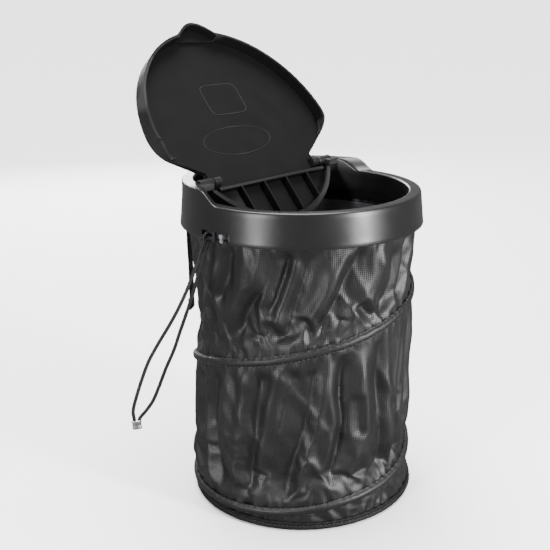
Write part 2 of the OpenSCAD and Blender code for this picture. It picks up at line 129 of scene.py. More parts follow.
class MeshWriter:
    """Collects the points, faces and cloth coordinates of one piece, in mm."""

    def __init__(self) -> None:
        """Start with nothing."""
        self.points: list[Points] = []
        self.faces: list[tuple[int, ...]] = []
        self.cloth: list[list[tuple[float, float]]] = []
        self.count = 0

    def add_points(self, points: Points) -> int:
        """Add points and return the index of the first."""
        first = self.count
        flat = np.asarray(points, float).reshape(-1, 3)
        self.points.append(flat)
        self.count += len(flat)
        return first

    def add_face(self, corners: Iterable[int]) -> None:
        """Add one face of any number of corners, with no cloth coordinates of its own."""
        corners = tuple(corners)
        self.faces.append(corners)
        self.cloth.append([(0.0, 0.0)] * len(corners))

    def grid(self, points: Points, along: Points, across: Points,
             close_along: bool = False, close_across: bool = False) -> int:
        """Add a grid of quads.

        Args:
            points: Rows of points, as an array of rows, columns and x, y, z.
            along: Cloth coordinate of each column, with one more where the rows close.
            across: Cloth coordinate of each row, with one more where the columns close.
            close_along: Joins the last column to the first.
            close_across: Joins the last row to the first.

        Returns:
            The index of the grid's first point.
        """
        rows, columns = points.shape[:2]
        first = self.add_points(points)
        for i in range(rows if close_across else rows - 1):
            k = (i + 1) % rows
            for j in range(columns if close_along else columns - 1):
                m = (j + 1) % columns
                self.faces.append((first + i * columns + j, first + i * columns + m,
                                   first + k * columns + m, first + k * columns + j))
                self.cloth.append([(along[j], across[i]), (along[j + 1], across[i]),
                                   (along[j + 1], across[i + 1]), (along[j], across[i + 1])])
        return first

    def capped(self, rings: Points, around: Points, along: Points) -> None:
        """Add a solid of closed rings, with a face over each end.

        Args:
            rings: Rings of points, as an array of rings, points and x, y, z.
            around: Cloth coordinate of each point of a ring, with one more where it closes.
            along: Cloth coordinate of each ring.
        """
        first = self.grid(rings, around, along, close_along=True)
        count, sides = rings.shape[:2]
        self.add_face(first + k for k in range(sides - 1, -1, -1))
        self.add_face(first + (count - 1) * sides + k for k in range(sides))

    def tube(self, line: Points, radius: Points | float, sides: int) -> None:
        """Add a round tube with closed ends along a line.

        Args:
            line: The points of its middle line.
            radius: One radius, or one for each point.
            sides: How many flat sides it has.
        """
        radii = np.broadcast_to(radius, len(line))
        tangents = np.gradient(line, axis=0)
        tangents /= np.linalg.norm(tangents, axis=1)[:, None]
        side = np.cross(tangents[0], UP if abs(tangents[0][2]) < 0.9 else np.array([1.0, 0, 0]))
        rings = []
        for point, tangent, size in zip(line, tangents, radii):
            side = side - tangent * np.dot(side, tangent)
            side /= np.linalg.norm(side)
            other = np.cross(tangent, side)
            turn = 2 * np.pi * np.arange(sides)[:, None] / sides
            rings.append(point + size * (np.cos(turn) * side + np.sin(turn) * other))
        round_it = 2 * np.pi * float(np.max(radii)) * np.arange(sides + 1) / sides
        self.capped(np.array(rings), round_it, lengths_along(line))

    def turned(self, profile: Sequence[Sequence[float]], centre: Sequence[float],
               axis: Sequence[float], sides: int) -> None:
        """Add a solid turned round an axis.

        Args:
            profile: Pairs of radius and distance along the axis, from one end to the other.
            centre: Where the axis starts.
            axis: Direction of the axis.
            sides: How many flat sides it has.
        """
        direction = np.asarray(axis, float)
        direction = direction / np.linalg.norm(direction)
        side = np.cross(direction, [0.3, 0.2, 0.9])
        side /= np.linalg.norm(side)
        other = np.cross(direction, side)
        turn = 2 * np.pi * np.arange(sides)[:, None] / sides
        rings = [np.asarray(centre) + along * direction
                 + size * (np.cos(turn) * side + np.sin(turn) * other)
                 for size, along in profile]
        self.capped(np.array(rings), np.arange(sides + 1.0), np.arange(float(len(rings))))

    def build(self, name: str, sharp: float = 40.0) -> bpy.types.Object:
        """Make the Blender object.

        Args:
            name: Name of the piece.
            sharp: Angle in degrees above which an edge is shaded sharp.

        Returns:
            The new object, in metres.
        """
        mesh = bpy.data.meshes.new(name)
        mesh.from_pydata((np.vstack(self.points) * MM).tolist(), [], self.faces)
        layer = mesh.uv_layers.new(name="cloth")
        flat = np.array([pair for face in self.cloth for pair in face], np.float32) * MM
        layer.data.foreach_set("uv", flat.ravel())
        return finish_mesh(mesh, name, sharp)


def finish_mesh(mesh: bpy.types.Mesh, name: str, sharp: float) -> bpy.types.Object:
    """Turn a mesh's faces outwards, shade it smooth and link it to the scene.

    Args:
        mesh: The mesh, in metres.
        name: Name of the piece.
        sharp: Angle in degrees above which an edge is shaded sharp.

    Returns:
        The new object.
    """
    work = bmesh.new()
    work.from_mesh(mesh)
    bmesh.ops.recalc_face_normals(work, faces=work.faces)
    for edge in work.edges:
        edge.smooth = len(edge.link_faces) < 2 or edge.calc_face_angle(0.0) < math.radians(sharp)
    for face in work.faces:
        face.smooth = True
    work.to_mesh(mesh)
    work.free()
    piece = bpy.data.objects.new(name, mesh)
    bpy.context.scene.collection.objects.link(piece)
    return piece


def applied(piece: bpy.types.Object) -> bpy.types.Object:
    """Write a piece's modifiers into its mesh."""
    graph = bpy.context.evaluated_depsgraph_get()
    mesh = bpy.data.meshes.new_from_object(piece.evaluated_get(graph))
    piece.modifiers.clear()
    piece.data = mesh
    return piece


def colour(code: str) -> tuple[float, float, float, float]:
    """Turn an sRGB hex colour into Blender's linear one."""
    values = [int(code[k:k + 2], 16) / 255 for k in (1, 3, 5)]
    linear = [v / 12.92 if v <= 0.04045 else ((v + 0.055) / 1.055) ** 2.4 for v in values]
    return (*linear, 1.0)


def add_node(tree: bpy.types.NodeTree, kind: str, links: dict[Any, Any] | None = None,
             **settings: Any) -> bpy.types.Node:
    """Add a node with its settings, and fill or link its sockets.

    Args:
        tree: The node tree.
        kind: Blender's name for the node's type.
        links: Values or output sockets by the name or number of the input socket.
        **settings: Properties of the node itself.

    Returns:
        The new node.
    """
    node = tree.nodes.new(kind)
    for name, value in settings.items():
        setattr(node, name, value)
    for socket, value in (links or {}).items():
        if isinstance(value, bpy.types.NodeSocket):
            tree.links.new(value, node.inputs[socket])
        else:
            node.inputs[socket].default_value = value
    return node


def cycles_per_metre(size_mm: float) -> float:
    """Texture scale that repeats once in a length in millimetres."""
    return 1.0 / (size_mm * MM)


@dataclass(frozen=True)
class Finish:
    """What every finish shares: a name and the values set on the shader itself."""

    name: str
    roughness: float
    shade: str
    specular: float = 0.5
    sheen: float = 0.0
    sheen_roughness: float = 0.4
    metallic: float = 0.0

    def shader(self) -> tuple[bpy.types.NodeTree, bpy.types.Node, bpy.types.Material]:
        """Make the material with its plain shader.

        Returns:
            The node tree, the shader node and the material.
        """
        material = bpy.data.materials.new(self.name)
        material.use_nodes = True
        tree = material.node_tree
        tree.nodes.clear()
        shader = add_node(tree, "ShaderNodeBsdfPrincipled", {
            "Base Color": colour(self.shade), "Roughness": self.roughness,
            "Metallic": self.metallic, "Specular IOR Level": self.specular,
            "Sheen Weight": self.sheen, "Sheen Roughness": self.sheen_roughness})
        add_node(tree, "ShaderNodeOutputMaterial", {"Surface": shader.outputs[0]})
        return tree, shader, material

    def spread(self, tree: bpy.types.NodeTree, source: bpy.types.NodeSocket, low: float,
               high: float) -> bpy.types.NodeSocket:
        """Stretch a 0 to 1 pattern to run from low to high."""
        return add_node(tree, "ShaderNodeMapRange",
                        {"Value": source, "From Min": 0.3, "From Max": 0.7,
                         "To Min": low, "To Max": high}).outputs[0]


@dataclass(frozen=True)
class MouldedPlastic(Finish):
    """Injection-moulded ABS or polypropylene with a fine spark-eroded grain."""

    grain: float = 0.5
    grain_depth: float = 0.01
    patch: float = 14.0
    patch_roughness: float = 0.05
    # Paler shade on convex edges: partly wear, partly a painted highlight line
    worn_and_highlight_shade: str = "#2a2a2c"

    def make(self) -> bpy.types.Material:
        """Make the material: grain in the bump, handling marks in the gloss, and paler edges that
        are part wear, part painted highlight.
        """
        tree, shader, material = self.shader()
        place = add_node(tree, "ShaderNodeTexCoord").outputs["Object"]
        grain = add_node(tree, "ShaderNodeTexNoise",
                         {"Vector": place, "Scale": cycles_per_metre(self.grain), "Detail": 2.0})
        bump = add_node(tree, "ShaderNodeBump", {"Height": grain.outputs[0], "Strength": 1.0,
                                                 "Distance": self.grain_depth * MM})
        patches = add_node(tree, "ShaderNodeTexNoise",
                           {"Vector": place, "Scale": cycles_per_metre(self.patch), "Detail": 4.0})
        # Convex edges turn paler: part wear, part a painted highlight line where edges would catch
        # the light
        edge = add_node(tree, "ShaderNodeNewGeometry").outputs["Pointiness"]
        edge_wear_and_highlight = add_node(tree, "ShaderNodeMapRange", {"Value": edge, "From Min": 0.52,
                                                     "From Max": 0.62})
        mix = add_node(tree, "ShaderNodeMix", {0: edge_wear_and_highlight.outputs[0], 6: colour(self.shade),
                                               7: colour(self.worn_and_highlight_shade)}, data_type="RGBA")
        tree.links.new(mix.outputs[2], shader.inputs["Base Color"])
        tree.links.new(self.spread(tree, patches.outputs[0], self.roughness - self.patch_roughness,
                                   self.roughness + self.patch_roughness),
                       shader.inputs["Roughness"])
        tree.links.new(bump.outputs[0], shader.inputs["Normal"])
        return material


@dataclass(frozen=True)
class WovenPolyester(Finish):
    """Plain-woven synthetic cloth: a checker of crossing threads, set by its cloth coordinates."""

    thread: float = 1.1
    thread_depth: float = 0.12
    bias: float = 45.0
    dark_shade: str = "#060607"
    streak: float = 18.0

    def make(self) -> bpy.types.Material:
        """Make the material: thread pattern in colour, gloss and bump, with soft streaks."""
        tree, shader, material = self.shader()
        cloth = add_node(tree, "ShaderNodeUVMap", uv_map="cloth").outputs[0]
        turned = add_node(tree, "ShaderNodeMapping",
                          {"Vector": cloth, "Rotation": (0.0, 0.0, math.radians(self.bias))})
        split = add_node(tree, "ShaderNodeSeparateXYZ", {0: turned.outputs[0]})
        waves = []
        for axis in (0, 1):
            scaled = add_node(tree, "ShaderNodeMath", {0: split.outputs[axis],
                              1: 2 * math.pi * cycles_per_metre(2 * self.thread)},
                              operation="MULTIPLY")
            waves.append(add_node(tree, "ShaderNodeMath", {0: scaled.outputs[0]},
                                  operation="SINE").outputs[0])
        crossing = add_node(tree, "ShaderNodeMath", {0: waves[0], 1: waves[1]},
                            operation="MULTIPLY")
        height = add_node(tree, "ShaderNodeMapRange", {"Value": crossing.outputs[0],
                                                       "From Min": -1.0}).outputs[0]
        streaks = add_node(tree, "ShaderNodeTexNoise",
                           {"Vector": turned.outputs[0], "Scale": cycles_per_metre(self.streak),
                            "Detail": 5.0})
        bump = add_node(tree, "ShaderNodeBump", {"Height": height, "Strength": 1.0,
                                                 "Distance": self.thread_depth * MM})
        mix = add_node(tree, "ShaderNodeMix", {0: height, 6: colour(self.dark_shade),
                                               7: colour(self.shade)}, data_type="RGBA")
        tree.links.new(mix.outputs[2], shader.inputs["Base Color"])
        tree.links.new(self.spread(tree, streaks.outputs[0], self.roughness - 0.05,
                                   self.roughness + 0.08), shader.inputs["Roughness"])
        tree.links.new(bump.outputs[0], shader.inputs["Normal"])
        return material


@dataclass(frozen=True)
class WorkedMetal(Finish):
    """Drawn or pressed metal with fine scratches."""

    scratch: float = 0.6

    def make(self) -> bpy.types.Material:
        """Make the material: fine scratches in the bump and a stained gloss."""
        tree, shader, material = self.shader()
        place = add_node(tree, "ShaderNodeTexCoord").outputs["Object"]
        drawn = add_node(tree, "ShaderNodeMapping", {"Vector": place, "Scale": (1.0, 1.0, 0.15)})
        marks = add_node(tree, "ShaderNodeTexNoise", {"Vector": drawn.outputs[0], "Detail": 3.0,
                                                      "Scale": cycles_per_metre(self.scratch)})
        bump = add_node(tree, "ShaderNodeBump", {"Height": marks.outputs[0], "Strength": 0.6,
                                                 "Distance": 0.02 * MM})
        tree.links.new(bump.outputs[0], shader.inputs["Normal"])
        tree.links.new(self.spread(tree, marks.outputs[0], self.roughness - 0.08,
                                   self.roughness + 0.12), shader.inputs["Roughness"])
        return material


# Satin moulded ABS: dark, with broad soft highlights
RING_ABS = MouldedPlastic("satin_abs", 0.33, "#0c0c0d", specular=0.45, grain=0.6,
                          grain_depth=0.003, patch_roughness=0.03, worn_and_highlight_shade="#19191b")
# Grained polypropylene: matte, so the lid reads as one even dark grey
# Its paler edge shade paints thin highlight lines along the skirt's and ribs' edges
LID_PP = MouldedPlastic("grained_polypropylene", 0.55, "#0b0b0c", specular=0.1, grain=0.7,
                        grain_depth=0.02, worn_and_highlight_shade="#2a2a2b")
HIDDEN_PP = MouldedPlastic("plain_polypropylene", 0.5, "#1c1c1e")
PEG_NYLON = MouldedPlastic("grey_nylon", 0.45, "#4a4b4d", worn_and_highlight_shade="#66686a")
# Coated polyester cloth, whose threads are drawn coarser than real ones so that they show
BAG_CLOTH = WovenPolyester("coated_polyester", 0.47, "#121213", specular=0.46, thread=0.85,
                           thread_depth=0.09)
LINING = WovenPolyester("coated_lining", 0.5, "#505054", specular=0.5, thread=1.4,
                        dark_shade="#3a3a3e")
# Folded tape of the same cloth, with threads that run straight along it
BINDING = WovenPolyester("binding_tape", 0.55, "#0d0d0e", specular=0.2, thread=0.8, bias=0.0,
                         thread_depth=0.15)
WEBBING = WovenPolyester("nylon_webbing", 0.55, "#0c0c0d", specular=0.3, thread=0.9, bias=0.0,
                         thread_depth=0.3)
SEWING_THREAD = WovenPolyester("sewing_thread", 0.45, "#202023", sheen=0.1, thread=0.35,
                               thread_depth=0.08)
ELASTIC = WovenPolyester("braided_elastic", 0.5, "#0c0c0d", specular=0.3, thread=0.55,
                         thread_depth=0.12)
SPRING_STEEL = WorkedMetal("spring_steel", 0.3, "#8a8c90", metallic=1.0)
CRIMP_METAL = WorkedMetal("nickel_plated_sleeve", 0.3, "#c4c6c9", metallic=1.0, scratch=0.8)


def dress(piece: bpy.types.Object, finish: Any, body: Body) -> bpy.types.Object:
    """Give a piece its finish, its material slot's name and the body it rides on.

    Args:
        piece: The piece, in place.
        finish: One of the finishes above.
        body: The CAD body it rides on.

    Returns:
        The piece.
    """
    material = bpy.data.materials.get(finish.name) or finish.make()
    piece.data.materials.clear()
    piece.data.materials.append(material)
    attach(piece, body.value)
    log.info("%s: %s on %s", piece.name, finish.name, body.value)
    return piece


@dataclass(frozen=True)
class SoftBox:
    """One soft light: degrees round the bin, then metres, and its power in watts.

    It stands at a distance from the bin's middle and faces a point at the height called aim.
    """

    name: str
    azimuth: float
    height: float
    size: tuple[float, float]
    power: float
    distance: float = 1.2
    aim: float = 0.12


@dataclass
class Studio:
    """The camera at the photograph's place, a pale floor and soft lights."""

    eye: tuple[float, float, float] = (-0.4490, -0.3972, 0.3416)
    target: tuple[float, float, float] = (0.0, 0.0, 0.120)
    lens: float = 58.56
    shift: tuple[float, float] = (-0.0496, 0.0892)
    roll: float = -0.217
    floor_shade: str = "#fbfbfb"
    floor_reach: float = 400.0
    floor_drop: float = 0.0002
    backdrop_reach: float = 380.0
    backdrop_strength: float = 1.9
    sky_strength: float = 0.34
    boxes: tuple[SoftBox, ...] = (
        SoftBox("left_box", -89, 0.42, (0.24, 0.75), 17),
        SoftBox("right_box", 8, 0.42, (0.18, 0.75), 42),
        SoftBox("back_box", 150, 0.6, (0.6, 0.6), 16))

    def camera(self) -> None:
        """Stand the camera where the photograph was taken from."""
        data = bpy.data.cameras.new("camera")
        data.lens = self.lens
        data.sensor_width = 36.0
        data.shift_x, data.shift_y = self.shift
        data.clip_start = 0.01
        camera = bpy.data.objects.new("camera", data)
        camera.location = self.eye
        look = (Vector(self.target) - Vector(self.eye)).to_track_quat("-Z", "Y")
        camera.rotation_mode = "QUATERNION"
        camera.rotation_quaternion = look @ Quaternion((0, 0, 1), math.radians(self.roll))
        bpy.context.scene.collection.objects.link(camera)
        bpy.context.scene.camera = camera

    def light(self, box: SoftBox) -> None:
        """Hang one soft box.

        Args:
            box: Its place, size and power.
        """
        data = bpy.data.lights.new(box.name, "AREA")
        data.shape = "RECTANGLE"
        data.size, data.size_y = box.size
        data.energy = box.power
        lamp = bpy.data.objects.new(box.name, data)
        angle = math.radians(box.azimuth)
        lamp.location = (box.distance * math.sin(angle), -box.distance * math.cos(angle),
                         box.height)
        look = Vector((0, 0, box.aim)) - lamp.location
        lamp.rotation_mode = "QUATERNION"
        lamp.rotation_quaternion = look.to_track_quat("-Z", "Y")
        bpy.context.scene.collection.objects.link(lamp)

    def sun(self, azimuth: float, elevation: float, strength: float, softness: float) -> None:
        """Light the whole floor evenly with one very soft sun.

        Args:
            azimuth: Where it stands round the bin, in degrees.
            elevation: How high it stands, in degrees.
            strength: Its strength.
            softness: How wide it looks, in degrees.
        """
        data = bpy.data.lights.new("soft_sun", "SUN")
        data.energy = strength
        data.angle = math.radians(softness)
        lamp = bpy.data.objects.new("soft_sun", data)
        angle, rise = math.radians(azimuth), math.radians(elevation)
        source = Vector((math.sin(angle) * math.cos(rise), -math.cos(angle) * math.cos(rise),
                         math.sin(rise)))
        lamp.rotation_mode = "QUATERNION"
        lamp.rotation_quaternion = (-source).to_track_quat("-Z", "Y")
        bpy.context.scene.collection.objects.link(lamp)

    def floor(self) -> None:
        """Lay a wide pale floor."""
        mesh = bpy.data.meshes.new("floor")
        reach = self.floor_reach
        mesh.from_pydata([(-reach, -reach, 0), (reach, -reach, 0), (reach, reach, 0),
                          (-reach, reach, 0)], [], [(0, 1, 2, 3)])
        floor = bpy.data.objects.new("floor", mesh)
        floor.location.z = -self.floor_drop
        material = bpy.data.materials.new("matte_floor")
        material.use_nodes = True
        shader = material.node_tree.nodes["Principled BSDF"]
        shader.inputs["Base Color"].default_value = colour(self.floor_shade)
        shader.inputs["Roughness"].default_value = 0.9
        mesh.materials.append(material)
        bpy.context.scene.collection.objects.link(floor)
        # As with dark cards beside a black product: its gloss doesn't mirror the bright floor
        floor.visible_glossy = False

    def backdrop(self) -> None:
        """Stand a far pale backdrop, as bright as the lit floor, which only the camera sees."""
        form = bmesh.new()
        bmesh.ops.create_uvsphere(form, u_segments=64, v_segments=32,
                                  radius=self.backdrop_reach)
        mesh = bpy.data.meshes.new("backdrop")
        form.to_mesh(mesh)
        form.free()
        backdrop = bpy.data.objects.new("backdrop", mesh)
        material = bpy.data.materials.new("pale_backdrop")
        material.use_nodes = True
        tree = material.node_tree
        tree.nodes.clear()
        glow = add_node(tree, "ShaderNodeEmission", {"Strength": self.backdrop_strength})
        add_node(tree, "ShaderNodeOutputMaterial", {"Surface": glow.outputs[0]})
        mesh.materials.append(material)
        bpy.context.scene.collection.objects.link(backdrop)
        backdrop.visible_diffuse = backdrop.visible_glossy = backdrop.visible_shadow = False

    def sky(self) -> None:
        """Light everything evenly from a white room."""
        world = bpy.data.worlds.new("white_room")
        world.use_nodes = True
        background = world.node_tree.nodes["Background"]
        background.inputs["Color"].default_value = (1.0, 1.0, 1.0, 1.0)
        background.inputs["Strength"].default_value = self.sky_strength
        bpy.context.scene.world = world

    def build(self) -> None:
        """Set up the camera, the floor and the lights."""
        self.camera()
        self.floor()
        self.backdrop()
        self.sky()
        self.sun(azimuth=150, elevation=78, strength=9.0, softness=50)
        for box in self.boxes:
            self.light(box)


@dataclass
class CordLoop:
    """The elastic hanging loop with its crimp, and the grey peg beside it."""

    radius: float = 1.2
    bar_point: int = 14
    crimp_at: tuple[float, float, float] = (-126.0, 33.5, 77.0)
    crimp_half: float = 3.0
    crimp_turn: float = -30.0
    crimp_sides: int = 28
    apart: float = 1.4
    grip: float = 1.8
    peg_azimuth: float = -86.0
    peg_distance: float = 81.5
    peg_low: float = 197.3
    peg_tall: float = 5.4
    peg_radius: float = 1.5
    route: tuple[tuple[float, float, float], ...] = (
        (-127.2, 34.2, 74), (-127.2, 34.2, 80), (-127.5, 34.5, 87), (-125, 33, 97),
        (-121.5, 31, 108), (-117, 28.5, 120), (-111, 25, 131.5), (-104.5, 21, 143),
        (-98.5, 17.5, 154.5), (-93.5, 14.5, 166), (-89.5, 12, 177), (-86.5, 10, 187),
        (-84.5, 8, 195), (-83.5, 7.5, 199.5), (-81.5, 7, 201.5), (-79.2, 7, 200),
        (-79.1, 7, 197.5), (-81, 7, 195.5), (-82.5, 8, 190), (-84.5, 9.5, 182),
        (-87.5, 11.5, 172), (-90.5, 13.5, 161), (-94.5, 15.5, 149.5), (-98.5, 18, 137.5),
        (-102.5, 20, 126), (-107.5, 23, 114), (-112, 25.5, 102), (-116, 28, 92),
        (-120.5, 30.5, 85.5), (-124, 32.3, 81.5), (-124.8, 32.8, 78), (-124.8, 32.8, 74))

    def crimp(self) -> bpy.types.Object:
        """Make the pressed sleeve that holds the cord's two ends."""
        writer = MeshWriter()
        turn = math.radians(self.crimp_turn)
        rings = []
        profile = [(-1.0, 0.80), (-0.96, 0.95), (-0.85, 1.0), (-0.5, 1.0), (-0.3, 0.9),
                   (0.0, 0.84), (0.3, 0.9), (0.5, 1.0), (0.85, 1.0), (0.96, 0.95), (1.0, 0.80)]
        for height, size in profile:
            ring = []
            for k in range(self.crimp_sides):
                angle = 2 * math.pi * k / self.crimp_sides
                side = self.apart if math.cos(angle) > 0 else -self.apart
                x, y = side + self.grip * size * math.cos(angle), self.grip * size * math.sin(angle)
                ring.append((self.crimp_at[0] + x * math.cos(turn) - y * math.sin(turn),
                             self.crimp_at[1] + x * math.sin(turn) + y * math.cos(turn),
                             self.crimp_at[2] + height * self.crimp_half))
            rings.append(ring)
        writer.capped(np.array(rings), np.arange(self.crimp_sides + 1.0),
                      np.arange(float(len(rings))))
        piece = writer.build("crimp_sleeve")
        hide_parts("cord_crimp")
        return dress(piece, CRIMP_METAL, Body.RIM)

    def strand(self, name: str, route: Sequence[Sequence[float]]) -> tuple[Any, Points]:
        """Make one side of the loop.

        Args:
            name: Name of the piece.
            route: Its middle line, from the bar to the crimp.

        Returns:
            The piece and the points that it follows.
        """
        line = evenly(smooth_line(route, 8), 1.5)
        writer = MeshWriter()
        writer.tube(line, self.radius, 14)
        piece = writer.build(name)
        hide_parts("cord_loop")
        return dress(piece, ELASTIC, Body.RIM), line

    def peg(self) -> bpy.types.Object:
        """Make the grey peg with its round head."""
        writer = MeshWriter()
        head, neck, tall = self.peg_radius, 0.8 * self.peg_radius, self.peg_tall
        foot = on_circle(self.peg_distance, self.peg_azimuth, self.peg_low)
        writer.turned([(0.7 * neck, 0.0), (neck, 0.2), (neck, 0.58 * tall), (head, 0.62 * tall),
                       (head, tall - 0.4), (0.75 * head, tall)], foot, UP, 24)
        piece = writer.build("cord_peg_nylon")
        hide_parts("cord_peg")
        return dress(piece, PEG_NYLON, Body.RIM)

    def build(self) -> None:
        """Make the loop's pieces: its crimp, its peg and its two sides."""
        crimp = self.crimp()
        self.peg()
        outer = list(reversed(self.route[:self.bar_point + 1]))
        inner = list(self.route[self.bar_point:])
        for name, route, far_end, carried in (("loop_outer_strand", outer, "fitting", [crimp]),
                                              ("loop_inner_strand", inner, "object", [])):
            piece, line = self.strand(name, route)


@dataclass
class HangStrap:
    """Narrow webbing that comes out of the ring's channel and has a folded end."""

    azimuth: float = -149.0
    width: float = 9.0
    thick: float = 1.2
    inner_radius: float = 77.7
    outer_radius: float = 80.4
    top: float = 202.5
    leaves_at: float = 197.0
    bend: float = 5.6
    low: float = 127.0
    fold: float = 8.4

    def build(self) -> bpy.types.Object:
        """Sweep the strap's flat section down and back up round its folded end."""
        half = self.thick / 2
        inside, outside = self.inner_radius + half, self.outer_radius + half
        route = [(inside, self.top), (inside, self.leaves_at + 1), (inside, self.leaves_at)]
        route += [(inside + (outside - inside) * u, self.leaves_at - self.bend * u)
                  for u in (0.25, 0.5, 0.75, 1.0)]
        route += [(outside + 0.15 * math.sin(u * 9), self.leaves_at - self.bend
                   + (self.low + 1.5 - self.leaves_at + self.bend) * u)
                  for u in np.linspace(0.1, 1.0, 16)]
        middle = outside + half + 0.05
        route += [(middle - (half + 0.05) * math.cos(math.radians(a)), self.low + 1.3
                   - 0.75 * math.sin(math.radians(a))) for a in range(20, 181, 20)]
        route += [(middle + half + 0.05, self.low + 2 + k) for k in (0.5, 2.0, 4.0, self.fold - 2)]
        line = np.array(route)
        tangent = np.gradient(line, axis=0)
        tangent /= np.linalg.norm(tangent, axis=1)[:, None]
        out = np.stack([-tangent[:, 1], tangent[:, 0]], axis=1)
        sides = []
        for across, through in ((-1, -0.4), (-1, 0.4), (-0.96, 0.8), (-0.6, 1), (0, 1), (0.6, 1),
                                (0.96, 0.8), (1, 0.4), (1, -0.4), (0.96, -0.8), (0.6, -1), (0, -1),
                                (-0.6, -1), (-0.96, -0.8)):
            sides.append((across * self.width / 2, through * half))
        angle = math.radians(self.azimuth)
        rings = []
        for (radius, height), (out_r, out_z) in zip(line, out):
            ring = []
            for across, through in sides:
                r, z = radius + out_r * through, height + out_z * through
                ring.append((across * math.cos(angle) + r * math.sin(angle),
                             across * math.sin(angle) - r * math.cos(angle), z))
            rings.append(ring)
        writer = MeshWriter()
        round_it = np.concatenate([[s[0] for s in sides], [sides[0][0]]])
        line3 = np.column_stack([line, np.zeros(len(line))])
        writer.capped(np.array(rings), round_it, lengths_along(line3))
        piece = writer.build("strap_webbing", sharp=60)
        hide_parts("hang_strap")
        return dress(piece, WEBBING, Body.RIM)


